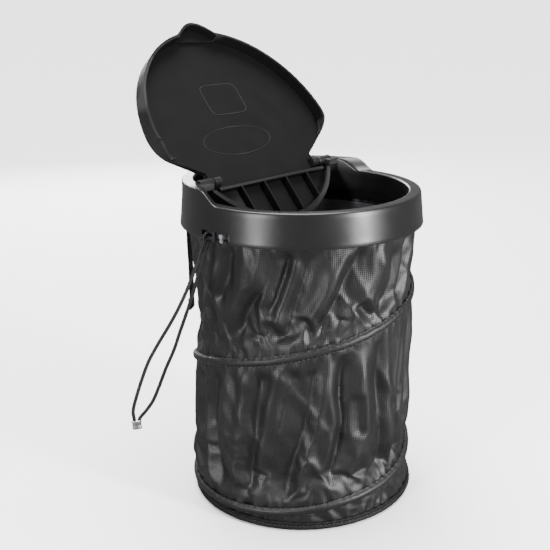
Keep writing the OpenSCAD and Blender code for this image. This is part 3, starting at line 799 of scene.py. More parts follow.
@dataclass
class Ring:
    """The moulded ring with its raised back, channel, notch, hinge bosses and cord bar."""

    radius: float = 82.5
    low: float = 197.0
    height: float = 22.0
    taper: float = 2.2
    lip: float = 8.3
    wall: float = 2.0
    rise: float = 8.0
    slope_start: float = -1.65
    slope_length: float = 15.0
    slant_in: float = 51.975
    house_start: float = 58.0
    house_front: float = 7.6
    house_back: float = 6.4
    edge: float = 1.5
    mouth_depth: float = 15.84
    notch_azimuth: float = -90.0
    notch_width: float = 24.0
    notch_height: float = 6.0
    hinge_back: float = 31.6
    hinge_height: float = 225.7
    boss_start: float = 52.6
    boss_end: float = 65.2
    boss_radius: float = 3.2
    bar_place: tuple[float, float, float] = (-81.5, 0.0, 198.8)
    bar_radius: float = 1.2
    bar_length: float = 13.0
    post_half: tuple[float, float] = (1.2, 1.0)
    post_top: float = 203.5
    columns: int = 480

    @property
    def top_radius(self) -> float:
        """Outside radius at the ring's top."""
        return self.radius - self.taper

    @property
    def mouth_radius(self) -> float:
        """Radius of the mouth."""
        return self.top_radius - self.lip

    def top_line(self, radius: Points, azimuth: Points) -> Points:
        """Height of the ring's top, which rises to the back in a slanted S at each side."""
        y = -radius * np.cos(np.radians(azimuth))
        x = np.maximum(np.abs(radius * np.sin(np.radians(azimuth))), self.slant_in)
        share = np.clip((y + x - self.top_radius - self.slope_start) / self.slope_length, 0.0, 1.0)
        return self.low + self.height + self.rise * (1 - np.cos(np.pi * share)) / 2

    def outside(self, height: Points) -> Points:
        """Outside radius at a height."""
        return self.radius - self.taper * np.clip((height - self.low) / self.height, 0.0, 1.0)

    def section(self, azimuth: Points) -> list[tuple[Points, Points]]:
        """Radii and heights of the section's corners, all the way round it.

        Args:
            azimuth: Angles of the ring's columns.

        Returns:
            One pair of arrays for each point of the section.
        """
        flat = np.zeros_like(azimuth)
        in_notch = np.abs((azimuth - self.notch_azimuth + 180) % 360 - 180) < math.degrees(
            math.asin(self.notch_width / 2 / self.radius))
        low = self.low + self.notch_height * in_notch
        small, edge = 0.5, self.edge
        points: list[tuple[Points, Points]] = []
        for angle in (-90, -60, -30, 0):
            a = math.radians(angle)
            points.append((self.outside(low) - small + small * math.cos(a) + flat,
                           low + small + small * math.sin(a)))
        top = self.top_line(self.top_radius + flat, azimuth)
        for share in (0.12, 0.3, 0.5, 0.7, 0.88, 1.0):
            z = low + small + (top - edge - low - small) * share
            points.append((self.outside(z), z))
        for k in range(1, 7):
            a = math.radians(90 * k / 6)
            r = self.top_radius - edge + edge * math.cos(a) + flat
            points.append((r, self.top_line(r, azimuth) - edge + edge * math.sin(a)))
        for share in (0.25, 0.5, 0.75):
            r = self.top_radius - edge - (self.lip - 2 * edge) * share + flat
            points.append((r, self.top_line(r, azimuth)))
        for k in range(0, 7):
            a = math.radians(90 + 90 * k / 6)
            r = self.mouth_radius + edge + edge * math.cos(a) + flat
            points.append((r, self.top_line(r, azimuth) - edge + edge * math.sin(a)))
        inner_low = self.low + self.height - self.mouth_depth
        mouth_top = self.top_line(self.mouth_radius + flat, azimuth)
        for share in (0.3, 0.65, 1.0):
            z = mouth_top - edge - (mouth_top - edge - inner_low - small) * share
            points.append((self.mouth_radius + flat, z))
        for angle in (210, 240, 270):
            a = math.radians(angle)
            points.append((self.mouth_radius + small + small * math.cos(a) + flat,
                           inner_low + small + small * math.sin(a) + flat))
        channel = self.mouth_radius + self.wall
        roof = self.top_line(channel + flat, azimuth) - self.wall
        points.append((channel + flat, inner_low + flat))
        points.append((channel + flat, inner_low + 0.5 * (roof - inner_low)))
        points.append((channel + flat, roof))
        outer = self.top_radius - self.wall
        roof = self.top_line(outer + flat, azimuth) - self.wall
        points.append((outer + flat, roof))
        for share in (0.5, 1.0):
            z = roof + (low - roof) * share
            points.append((self.outside(z) - self.wall, z))
        return points

    def ring_mesh(self, writer: MeshWriter) -> None:
        """Sweep the section round the ring."""
        half = math.degrees(math.asin(self.notch_width / 2 / self.radius))
        azimuth = np.linspace(-180, 180, self.columns, endpoint=False)
        extra = [self.notch_azimuth + side * half + shift
                 for side in (-1, 1) for shift in (-0.12, 0.12)]
        azimuth = np.unique(np.concatenate([azimuth, extra]))
        rows = np.array([on_circle(r, azimuth, z) for r, z in self.section(azimuth)])
        around = np.radians(np.append(azimuth, azimuth[0] + 360)) * self.radius
        writer.grid(rows, around, np.arange(len(rows) + 1.0), close_along=True, close_across=True)

    def bosses(self, writer: MeshWriter) -> None:
        """Add the two hinge bosses, each with a shallow recess round its pin."""
        r, length = self.boss_radius, self.boss_end - self.boss_start
        for side in (-1, 1):
            writer.turned([(2.0, 0.5), (2.3, 0.05), (r - 0.4, 0.0), (r - 0.1, 0.12), (r, 0.4),
                           (r, length)],
                          (side * self.boss_start, self.hinge_back, self.hinge_height),
                          (side, 0, 0), 40)

    def houses(self, writer: MeshWriter) -> None:
        """Add the block beside the mouth that each boss stands in, flush with the raised back."""
        top = self.low + self.height + self.rise
        reach = self.mouth_radius + 1.3
        front, back = self.hinge_back - self.house_front, self.hinge_back + self.house_back
        arc = [(math.sqrt(reach**2 - y**2), y) for y in np.linspace(front, back, 9)]
        plan = np.array([(self.house_start, back), (self.house_start, front)] + arc)
        middle = plan.mean(axis=0)
        for side in (1, -1):
            rows = []
            for z, inset in ((top - 4.5, 0.5), (top - 4.0, 0.0), (top - 0.7, 0.0),
                             (top - 0.25, 0.15), (top, 0.6)):
                inner = plan - inset * np.sign(plan - middle)
                rows.append(np.column_stack([side * inner[:, 0], inner[:, 1],
                                             np.full(len(plan), z)]))
            count = len(plan)
            first = writer.grid(np.array(rows), np.arange(count + 1.0), np.arange(5.0),
                                close_along=True)
            writer.add_face(first + k for k in range(count))
            writer.add_face(first + 4 * count + k for k in range(count))

    def cord_bar(self, writer: MeshWriter) -> None:
        """Add the bar that the cord loops round, and the small post at its end."""
        r, length = self.bar_radius, self.bar_length
        writer.turned([(r - 0.1, 0.0), (r, 0.1), (r, length - 0.2), (r - 0.1, length)],
                      self.bar_place, (0, 1, 0), 24)
        rows = []
        for z, share in ((self.low, 0.9), (self.low + 0.1, 1.0), (self.post_top - 0.1, 1.0),
                         (self.post_top, 0.9)):
            rows.append([(self.bar_place[0] + self.post_half[0] * x * share,
                          self.post_half[1] * y * share, z)
                         for x, y in ((-1, -1), (1, -1), (1, 1), (-1, 1))])
        writer.capped(np.array(rows), np.arange(5.0), np.arange(4.0))

    def build(self) -> bpy.types.Object:
        """Make the ring as one piece."""
        writer = MeshWriter()
        self.ring_mesh(writer)
        self.bosses(writer)
        self.houses(writer)
        self.cord_bar(writer)
        piece = writer.build("moulded_ring", sharp=34)
        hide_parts("rim_ring")
        return dress(piece, RING_ABS, Body.RIM)


@dataclass
class Lid:
    """The flip lid, refined from its CAD solid: clean faces and rounded moulded edges."""

    bevel: float = 0.45
    sharp: float = 32.0
    hinge_back: float = 31.6
    hinge_height: float = 225.7
    open_angle: float = 130.0
    underside: float = 2.0
    mark_height: float = 0.22
    fin_side: tuple[float, float] = (70.0, 71.0)
    fin_forward: tuple[float, float] = (21.9, 22.5)
    skirt_end: float = 22.38
    weld: float = 0.002

    def in_lid(self, points: Points) -> Points:
        """Turn places in the open lid to sideways, forward and upward mm of the closed one."""
        turn = math.radians(self.open_angle)
        y, z = points[..., 1] - self.hinge_back, points[..., 2] - self.hinge_height
        forward = -y * math.cos(turn) + z * math.sin(turn)
        up = y * math.sin(turn) + z * math.cos(turn)
        return np.stack([points[..., 0], forward, up], axis=-1)

    def in_scene(self, points: Points) -> Points:
        """Turn sideways, forward and upward mm of the closed lid to places in the open one."""
        turn = math.radians(self.open_angle)
        forward, up = points[..., 1], points[..., 2]
        y = -forward * math.cos(turn) + up * math.sin(turn)
        z = forward * math.sin(turn) + up * math.cos(turn)
        return np.stack([points[..., 0], y + self.hinge_back, z + self.hinge_height], axis=-1)

    def marks(self) -> bpy.types.Object:
        """Raise two faint plain outlines on the underside, as a mould's inserts leave them."""
        writer = MeshWriter()
        turn = np.linspace(0, 2 * np.pi, 97)[:-1]
        for middle, size, power in (((-0.7, 62.0), (17.0, 12.2), 0.35),
                                    ((-8.5, 28.5), (31.5, 10.9), 1.0)):
            x = np.sign(np.cos(turn)) * np.abs(np.cos(turn)) ** power * size[0] + middle[0]
            y = np.sign(np.sin(turn)) * np.abs(np.sin(turn)) ** power * size[1] + middle[1]
            line = np.column_stack([x, y, np.full(len(turn), self.underside)])
            rows = []
            for out, drop in ((0.4, -0.2), (0.18, self.mark_height), (-0.18, self.mark_height),
                              (-0.4, -0.2)):
                away = line - line.mean(axis=0)
                away[:, 2] = 0
                away /= np.linalg.norm(away, axis=1)[:, None]
                rows.append(self.in_scene(line + out * away - [0, 0, drop]))
            writer.grid(np.array(rows), np.arange(len(turn) + 1.0), np.arange(5.0),
                        close_along=True, close_across=True)
        piece = writer.build("underside_marks")
        return dress(piece, LID_PP, Body.LID)

    def build(self) -> bpy.types.Object:
        """Copy the CAD solid's mesh, clean it and round its edges."""
        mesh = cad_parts["lid"].data.copy()
        work = bmesh.new()
        work.from_mesh(mesh)
        (fin_in, fin_out), (fin_start, fin_end) = self.fin_side, self.fin_forward
        for vertex in work.verts:
            place = self.in_lid(np.array(vertex.co) / MM)
            # The solid's skirt ends in a thin fin. It is pressed flat, which leaves tiny remnants
            if fin_in < abs(place[0]) < fin_out and fin_start < place[1] < fin_end:
                place[1] = self.skirt_end
                vertex.co = self.in_scene(place) * MM
        bmesh.ops.remove_doubles(work, verts=work.verts, dist=self.weld * MM)
        bmesh.ops.dissolve_degenerate(work, edges=work.edges, dist=self.weld * MM)
        bmesh.ops.dissolve_limit(work, angle_limit=math.radians(0.4), verts=work.verts,
                                 edges=work.edges)
        work.to_mesh(mesh)
        work.free()
        piece = finish_mesh(mesh, "flip_lid", self.sharp)
        rounding = piece.modifiers.new("rounding", "BEVEL")
        rounding.width = self.bevel * MM
        rounding.segments = 2
        rounding.limit_method = "ANGLE"
        rounding.angle_limit = math.radians(self.sharp)
        rounding.harden_normals = True
        applied(piece)
        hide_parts("lid")
        self.marks()
        return dress(piece, LID_PP, Body.LID)


@dataclass(frozen=True)
class Fold:
    """One fold pressed into the cloth, along a line of azimuths and heights.

    Its left wall is the steeper one where lean is over 0, and its right wall where it is under 0.
    """

    line: tuple[tuple[float, float], ...]
    depth: float
    width: float
    lean: float = 0.0


def seen_folds() -> list[Fold]:
    """The folds that the bag shows on its front and left."""
    rows = [
        (((-84, 197), (-90.5, 171), (-99, 152)), 4.0, 6, 0.3),
        (((-61, 195), (-67.6, 170.5), (-74.5, 160.1), (-79.9, 148.2), (-84, 128)), 4.2, 6, 0.5),
        (((-53, 199), (-58.8, 173.3), (-66, 150)), 5.2, 6.5, 0.5),
        (((-43, 197), (-49.5, 170.4), (-54.3, 150.7), (-60, 128)), 5.6, 7, 0.6),
        (((-67.3, 160), (-63, 139.9), (-59.2, 133.6)), 2.4, 3.5, 0),
        (((-47.2, 152), (-43.4, 130.5)), 2.4, 3.5, -0.5),
        (((-15, 199), (-24, 177.8), (-30.5, 162.6), (-37.7, 146.9), (-43, 128)), 5.2, 7, 0.4),
        (((-19, 158), (-10.6, 143)), 2.8, 4, 0.3),
        (((-27.5, 150), (-32, 136)), 2.6, 4, 0),
        (((8, 192), (1.7, 162), (-9, 136)), 4.4, 6, -0.4),
        (((-112, 193), (-118, 165), (-128, 120)), 4.0, 6, 0.3),
        (((24, 197), (14, 172), (8, 150)), 4.0, 6, -0.3),
        (((-41, 130), (-47.3, 81.6), (-54.9, 44.6), (-58, 16)), 4.2, 6, -0.4),
        (((-50, 120), (-57, 99.1), (-62.4, 66), (-67, 14)), 5.0, 7, 0.5),
        (((-70, 118), (-72.8, 78.4), (-78, 14)), 4.0, 7, 0.2),
        (((-27, 126), (-28.8, 97.3), (-28, 71.8), (-35, 28)), 5.0, 6, 0.5),
        (((-18.8, 96), (-17.2, 64)), 2.6, 4, -0.3),
        (((-98, 110), (-102.8, 66.2), (-94, 14)), 3.8, 6, 0.3),
        (((-6, 130), (-4, 85.5), (-2.2, 54.5), (-2, 24)), 4.6, 6, -0.5),
        (((18, 136), (11.7, 72), (10, 32)), 3.8, 5, 0.4),
        (((33, 142), (27, 96), (24, 36)), 4.0, 6, -0.4),
        (((-118, 100), (-116, 60), (-112, 16)), 3.4, 6, 0)]
    return [Fold(*row) for row in rows]


def plain_folds() -> list[Fold]:
    """The folds of the bag's right side and back: upper end, lower end and depth."""
    rows = [((46, 193), (36, 154), 3.4), ((68, 195), (60, 164), 3.0), ((52, 154), (44, 43), 4.0),
            ((72, 162), (64, 51), 4.0), ((92, 165), (86, 59), 3.6), ((112, 169), (107, 63), 4.0),
            ((132, 173), (128, 71), 4.0), ((152, 177), (150, 79), 4.0), ((172, 181), (172, 87), 3.6),
            ((-167, 187), (-165, 95), 4.0), ((-147, 191), (-145, 99), 4.0),
            ((80, 47), (72, 12), 3.4), ((108, 59), (102, 12), 3.4), ((138, 71), (133, 12), 3.8),
            ((165, 79), (162, 12), 3.4), ((-168, 87), (-170, 12), 3.8),
            ((-143, 95), (-142, 12), 3.4)]
    return [Fold((upper, lower), depth, 7, 0.3 if k % 2 else -0.3)
            for k, (upper, lower, depth) in enumerate(rows)]


@dataclass
class BagForm:
    """The bag's plain form, as the CAD source gives it."""

    top_radius: float = 75.9
    height: float = 197.0
    full_azimuth: float = -138.5
    smooth: float = 0.02
    full: tuple[tuple[float, float], ...] = (
        (0, 1.03), (0.04, 1.03), (0.1, 1.054), (0.16, 1.054), (0.25, 1.042), (0.36, 1.021),
        (0.54, 0.988), (0.62, 0.962), (0.76, 0.959), (0.88, 0.982), (0.97, 1), (1.1, 1))
    slim: tuple[tuple[float, float], ...] = (
        (0, 1.03), (0.04, 1.03), (0.12, 1.01), (0.19, 0.982), (0.27, 1), (0.36, 1.013),
        (0.46, 1.001), (0.8, 0.996), (0.97, 1), (1.1, 1))
    seam_azimuth: float = -128.5
    seam_smooth: float = 0.05
    seam: tuple[tuple[float, float], ...] = (
        (-1, 0.0495), (0.1, 0.0495), (0.19, 0.067), (0.4, 0.137), (0.72, 0.33), (1.03, 0.54),
        (1.19, 0.622), (1.375, 0.722), (1.62, 0.85), (1.9, 0.985), (2, 1))
    first_turn: float = -0.45
    last_turn: float = 1.86

    @staticmethod
    def eased(table: Sequence[Sequence[float]], value: Points, step: float) -> Points:
        """Look a value up in a table, with its corners eased."""
        x, y = zip(*table)
        return (np.interp(value - step, x, y) + 2 * np.interp(value, x, y)
                + np.interp(value + step, x, y)) / 4

    def outside(self, azimuth: Points, height: Points) -> Points:
        """Radius of the bag's outside."""
        weight = (1 + np.cos(np.radians(azimuth - self.full_azimuth))) / 2
        share = np.asarray(height) / self.height
        return self.top_radius * (weight * self.eased(self.full, share, self.smooth)
                                  + (1 - weight) * self.eased(self.slim, share, self.smooth))

    def seam_height(self, turn: Points) -> Points:
        """Height of the spiral's middle line at a turn."""
        return self.height * self.eased(self.seam, turn, self.seam_smooth)

    def seam_azimuth_at(self, turn: Points) -> Points:
        """Azimuth of the spiral at a turn."""
        return self.seam_azimuth + 360.0 * np.asarray(turn)

    def above_seam(self, azimuth: Points, height: Points) -> Points:
        """Signed height over the nearest turn of the spiral, in mm."""
        share = ((azimuth - self.seam_azimuth) / 360.0) % 1.0
        best = np.full(np.broadcast(azimuth, height).shape, 1e3)
        for lap in (-1, 0, 1):
            turn = share + lap
            gap = height - self.seam_height(turn)
            held = (turn > self.first_turn - 0.01) & (turn < self.last_turn + 0.01)
            gap = np.where(held, gap, 1e3)
            best = np.where(np.abs(gap) < np.abs(best), gap, best)
        return best


@dataclass
class BagCloth:
    """The fabric wall with its folds, relaxed by a cloth simulation, and its lining."""

    form: BagForm = field(default_factory=BagForm)
    columns: int = 264
    rows: int = 104
    low: float = 1.9
    top: float = 196.7
    thick: float = 1.2
    inward: float = 8.0
    outward: float = 2.6
    fold_gain: float = 1.2
    sim_scale: float = 10.0
    sim_frames: int = 32
    sim_reach: float = 5.0

    def noise_field(self, across: Points, height: Points, size: tuple[float, float],
                    lean: float, seed: float) -> Points:
        """Stretched noise that closes round the bag.

        Args:
            across: Azimuths of the grid.
            height: Heights of the grid.
            size: Length of a fold across and along it, in mm.
            lean: How far a fold leans sideways for each mm of height.
            seed: Moves the pattern.

        Returns:
            Values from about -1 to 1.
        """
        radius = self.form.top_radius
        angle = np.radians(across) + lean * height / radius
        x, y = np.cos(angle) * radius / size[0], np.sin(angle) * radius / size[0]
        z = height / size[1]
        flat = [noise.noise(Vector((a + seed, b - seed, c + 2 * seed)))
                for a, b, c in zip(x.ravel(), y.ravel(), z.ravel())]
        return np.array(flat).reshape(across.shape) * 2.0

    def fold_depth(self, azimuth: Points, height: Points, fold: Fold) -> Points:
        """Depth that one fold presses into the cloth, with low ridges beside it."""
        radius = self.form.top_radius
        line = np.array([(math.radians(a) * radius, z, 0.0) for a, z in fold.line])
        line = smooth_line(line, 6)[:, :2]
        along = np.linspace(0.0, 1.0, len(line))
        x = np.radians((azimuth - fold.line[0][0] + 180) % 360 - 180 + fold.line[0][0]) * radius
        best = np.full(x.shape, 1e3)
        place, side = np.zeros_like(x), np.zeros_like(x)
        for k in range(len(line) - 1):
            step = line[k + 1] - line[k]
            share = np.clip(((x - line[k][0]) * step[0] + (height - line[k][1]) * step[1])
                            / (step @ step), 0.0, 1.0)
            gap = np.hypot(x - line[k][0] - share * step[0], height - line[k][1] - share * step[1])
            nearer = gap < best
            best = np.where(nearer, gap, best)
            place = np.where(nearer, along[k] + share * (along[k + 1] - along[k]), place)
            side = np.where(nearer, x - line[k][0] - share * step[0], side)
        left = side < 0
        wall = fold.width * np.where(left, 1 - 0.6 * fold.lean, 1 + 0.6 * fold.lean)
        reach = best / wall
        taper = smoothstep(np.minimum(place, 1 - place), -0.02, 0.22)
        ridge = 0.25 * np.exp(-((reach - 1.9) / 0.6) ** 2)
        pressed = ridge - 0.45 * np.exp(-1.5 * reach) - 0.55 * np.exp(-reach * reach)
        return self.fold_gain * fold.depth * taper * pressed

    def folded(self, azimuth: Points, height: Points) -> Points:
        """How far the cloth stands out of its plain form, in mm."""
        seam = self.form.above_seam(azimuth, height)
        free = (smoothstep(np.abs(seam), 2.5, 15) * smoothstep(self.top + 1 - height, 0, 9)
                * smoothstep(height, 6, 16))
        depth = sum(self.fold_depth(azimuth, height, fold)
                    for fold in seen_folds() + plain_folds())
        upper = smoothstep(seam, -20, 20)
        lean = 0.5
        big = self.noise_field(azimuth, height, (20, 70), lean, 3.1)
        small = self.noise_field(azimuth, height, (9, 30), lean * 0.8, 7.7)
        depth = depth + (0.6 - 1.6 * np.abs(big)) + 0.45 * small * (0.5 + 0.5 * upper)
        radius = self.form.top_radius
        around = np.radians(azimuth) * radius
        jitter = 5 * self.noise_field(azimuth, height, (25, 60), 0.0, 1.7)
        near = np.exp(-np.maximum(np.abs(seam) - 3, 0) / 5.0)
        pucker = near * (0.55 * np.cos((around + jitter) * 2 * np.pi / 9.7)
                         + 0.3 * np.cos((around + 1.4 * jitter) * 2 * np.pi / 4.9))
        foot = np.exp(-np.maximum(height - 7, 0) / 9.0) * smoothstep(height, 3, 8)
        gather = 1.1 * np.cos((around + 1.6 * jitter) * 2 * np.pi / 8.7) * foot
        head = np.exp(-np.maximum(self.top - height, 0) / 8.0) * smoothstep(self.top - height, 0, 3)
        tuck = 0.8 * np.cos((around + 1.3 * jitter) * 2 * np.pi / 10.9) * head
        return np.clip(free * depth + pucker + gather + tuck, -self.inward, self.outward)

    def relaxed(self, points: Points, held: Points) -> Points:
        """Let a cloth simulation settle the folds.

        Args:
            points: The folded grid, in mm.
            held: How firmly each point keeps its place, from 0 to 1.

        Returns:
            The settled grid, in mm.
        """
        rows, columns = points.shape[:2]
        writer = MeshWriter()
        writer.grid(points, np.arange(columns + 1.0), np.arange(float(rows)), close_along=True)
        piece = writer.build("cloth_form")
        piece.data.transform(((self.sim_scale, 0, 0, 0), (0, self.sim_scale, 0, 0),
                              (0, 0, self.sim_scale, 0), (0, 0, 0, 1)))
        group = piece.vertex_groups.new(name="held")
        for weight in np.unique(np.round(held, 2)):
            chosen = np.nonzero(np.round(held.ravel(), 2) == weight)[0]
            group.add(chosen.tolist(), float(weight), "REPLACE")
        cloth = piece.modifiers.new("settle", "CLOTH")
        values = cloth.settings
        values.quality = 6
        values.mass = 0.2
        values.air_damping = 4.0
        values.tension_stiffness = 40
        values.compression_stiffness = 40
        values.shear_stiffness = 12
        values.bending_stiffness = 0.6
        values.shrink_min = -0.014
        values.vertex_group_mass = "held"
        values.pin_stiffness = 1.0
        values.effector_weights.gravity = 0.15
        cloth.collision_settings.use_collision = False
        cloth.point_cache.frame_start = 1
        cloth.point_cache.frame_end = self.sim_frames
        scene = bpy.context.scene
        for step in range(1, self.sim_frames + 1):
            scene.frame_set(step)
        graph = bpy.context.evaluated_depsgraph_get()
        mesh = piece.evaluated_get(graph).data
        flat = np.zeros(len(mesh.vertices) * 3, np.float32)
        mesh.vertices.foreach_get("co", flat)
        settled = flat.reshape(points.shape).astype(float) / self.sim_scale / MM
        bpy.data.objects.remove(piece)
        scene.frame_set(1)
        move = settled - points
        far = np.linalg.norm(move, axis=-1, keepdims=True)
        log.info("cloth moved %.2f mm on average, %.2f at most", far.mean(), far.max())
        return points + move * np.minimum(1.0, self.sim_reach / np.maximum(far, 1e-6))

    def surface(self) -> tuple[Points, Points, Points]:
        """Make the grid of the bag's outside.

        Returns:
            The grid's points, its azimuths and its heights.
        """
        azimuth = np.linspace(-180, 180, self.columns, endpoint=False)
        height = np.linspace(self.low, self.top, self.rows)
        across, up = np.meshgrid(azimuth, height)
        plain = self.form.outside(across, up)
        points = on_circle(plain + self.folded(across, up), across, up)
        seam = self.form.above_seam(across, up)
        held = np.maximum.reduce([1 - smoothstep(np.abs(seam), 3, 7),
                                  1 - smoothstep(up, 6, 12),
                                  1 - smoothstep(self.top - up, 0.5, 5)])
        points = self.relaxed(points, np.maximum(held, 0.03))
        radius = np.hypot(points[..., 0], points[..., 1])
        angle = np.degrees(np.arctan2(points[..., 0], -points[..., 1]))
        limit = self.form.outside(angle, points[..., 2])
        kept = np.clip(radius, limit - self.inward, limit + self.outward) / radius
        points[..., :2] *= kept[..., None]
        return points, azimuth, height

    def build(self) -> list[bpy.types.Object]:
        """Make the wall and its lining.

        Returns:
            The wall and the lining.
        """
        points, azimuth, height = self.surface()
        around = np.radians(np.append(azimuth, azimuth[0] + 360)) * self.form.top_radius
        writer = MeshWriter()
        writer.grid(points, around, height, close_along=True)
        wall = writer.build("bag_cloth", sharp=80)
        finer = wall.modifiers.new("finer", "SUBSURF")
        finer.levels = finer.render_levels = 1
        finer.uv_smooth = "PRESERVE_BOUNDARIES"
        applied(wall)
        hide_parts("bag_wall")
        dress(wall, BAG_CLOTH, Body.RIM)
        inner = points[::2, ::2].copy()
        radius = np.hypot(inner[..., 0], inner[..., 1])[..., None]
        inner[..., :2] *= (radius - self.thick) / radius
        writer = MeshWriter()
        writer.grid(inner, around[::2], height[::2], close_along=True)
        lining = writer.build("bag_lining", sharp=80)
        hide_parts("bag_wall")
        dress(lining, LINING, Body.RIM)
        return [wall, lining]


@dataclass
class SpiralCasing:
    """The sewn strip that holds the spring wire, its stitches and the wire."""

    form: BagForm = field(default_factory=BagForm)
    width: float = 6.5
    thick: float = 3.0
    gap: float = 0.3
    wire: float = 0.9
    stitch: float = 2.7
    thread: float = 0.3
    steps: int = 900
    stitch_steps: int = 3000
    wire_steps: int = 400

    def place(self, turn: Points) -> tuple[Points, Points, Points]:
        """Azimuth, height and inner radius of the strip at a turn."""
        azimuth, height = self.form.seam_azimuth_at(turn), self.form.seam_height(turn)
        inner = np.maximum.reduce([self.form.outside(azimuth, height + side * self.width / 2)
                                   for side in (-1, 0, 1)]) + self.gap
        return azimuth, height, inner

    def cover(self, turn: Points, across: Points) -> Points:
        """Points of the strip's outside.

        Args:
            turn: Turns of the spiral.
            across: Shares from -1 at the strip's lower edge to 1 at its upper edge.

        Returns:
            The points, in mm.
        """
        azimuth, height, inner = self.place(turn)
        length = azimuth * math.radians(1) * self.form.top_radius
        wobble = np.array([noise.noise(Vector((v / 9.0, 4.2, 0.0)))
                           for v in np.atleast_1d(length).ravel()]).reshape(np.shape(length))
        pull = np.cos(length * 2 * np.pi / 4.3 + 6 * wobble)
        rise = across * (self.width / 2) * (1 + 0.05 * pull * np.abs(across)) + 0.5 * wobble
        edge = self.form.outside(azimuth, height + rise) + 0.2
        bulge = (1 - np.clip(np.abs(across) / 0.86, 0, 1) ** 3.2) ** 0.8
        seam_line = np.exp(-((np.abs(across) - 0.8) / 0.08) ** 2)
        side = smoothstep(np.abs(across), 0.3, 0.9)
        ends = smoothstep(turn - self.form.first_turn, 0, 0.012) * smoothstep(
            self.form.last_turn - turn, 0, 0.012)
        out = edge * (1 - bulge) + inner * bulge + ends * (
            0.6 + 1.9 * bulge - 0.3 * seam_line + 0.28 * pull * (0.15 + side))
        return on_circle(out, azimuth, height + rise)

    def band(self) -> bpy.types.Object:
        """Make the strip."""
        turn = np.linspace(self.form.first_turn, self.form.last_turn, self.steps)
        shares = np.array([-1.0, -0.93, -0.8, -0.66, -0.5, -0.33, -0.16, 0.0, 0.16, 0.33, 0.5,
                           0.66, 0.8, 0.93, 1.0])
        outer = np.array([self.cover(turn, np.full_like(turn, s)) for s in shares])
        azimuth, height, inner = self.place(turn)
        under = []
        for share in (0.9, 0.0, -0.9):
            rise = share * self.width / 2
            radius = self.form.outside(azimuth, height + rise) - 0.3
            under.append(on_circle(radius, azimuth, height + rise))
        rows = np.concatenate([outer, np.array(under)])
        line = on_circle(inner, azimuth, height)
        across = np.append(np.concatenate([shares, [1.2, 2.2, 3.2]]), 4.2) * self.width / 2
        writer = MeshWriter()
        first = writer.grid(rows, lengths_along(line), across, close_across=True)
        count = len(turn)
        writer.add_face(first + k * count for k in range(len(rows)))
        writer.add_face(first + k * count + count - 1 for k in range(len(rows) - 1, -1, -1))
        piece = writer.build("spiral_strip", sharp=70)
        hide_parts("spiral_casing")
        return dress(piece, BAG_CLOTH, Body.RIM)

    def stitches(self) -> bpy.types.Object:
        """Make the two rows of stitches along the strip."""
        turn = np.linspace(self.form.first_turn, self.form.last_turn, self.stitch_steps)
        azimuth, height, inner = self.place(turn)
        along = lengths_along(on_circle(inner, azimuth, height))
        writer = MeshWriter()
        for share in (-0.8, 0.8):
            starts = np.arange(4.0, along[-1] - 4.0, self.stitch)
            for start in starts:
                at = np.interp(start + np.array([0.0, 0.5, 1.0, 1.5, 2.0]), along, turn)
                line = self.cover(at, np.full_like(at, share))
                out = line * [1, 1, 0]
                out /= np.linalg.norm(out, axis=1)[:, None]
                line = line + out * np.array([-0.15, 0.12, 0.2, 0.12, -0.15])[:, None]
                writer.tube(line, self.thread * np.array([0.6, 1.0, 1.0, 1.0, 0.6]), 5)
        piece = writer.build("spiral_stitches", sharp=90)
        return dress(piece, SEWING_THREAD, Body.RIM)

    def spring(self) -> bpy.types.Object:
        """Make the wire inside the strip."""
        turn = np.linspace(self.form.first_turn + 0.01, self.form.last_turn - 0.01,
                           self.wire_steps)
        azimuth, height, inner = self.place(turn)
        writer = MeshWriter()
        writer.tube(on_circle(inner + self.wire + 0.2, azimuth, height), self.wire, 8)
        piece = writer.build("spring_steel_wire")
        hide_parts("spring_wire")
        return dress(piece, SPRING_STEEL, Body.RIM)

    def build(self) -> list[bpy.types.Object]:
        """Make the strip, its stitches and its wire."""
        return [self.band(), self.stitches(), self.spring()]


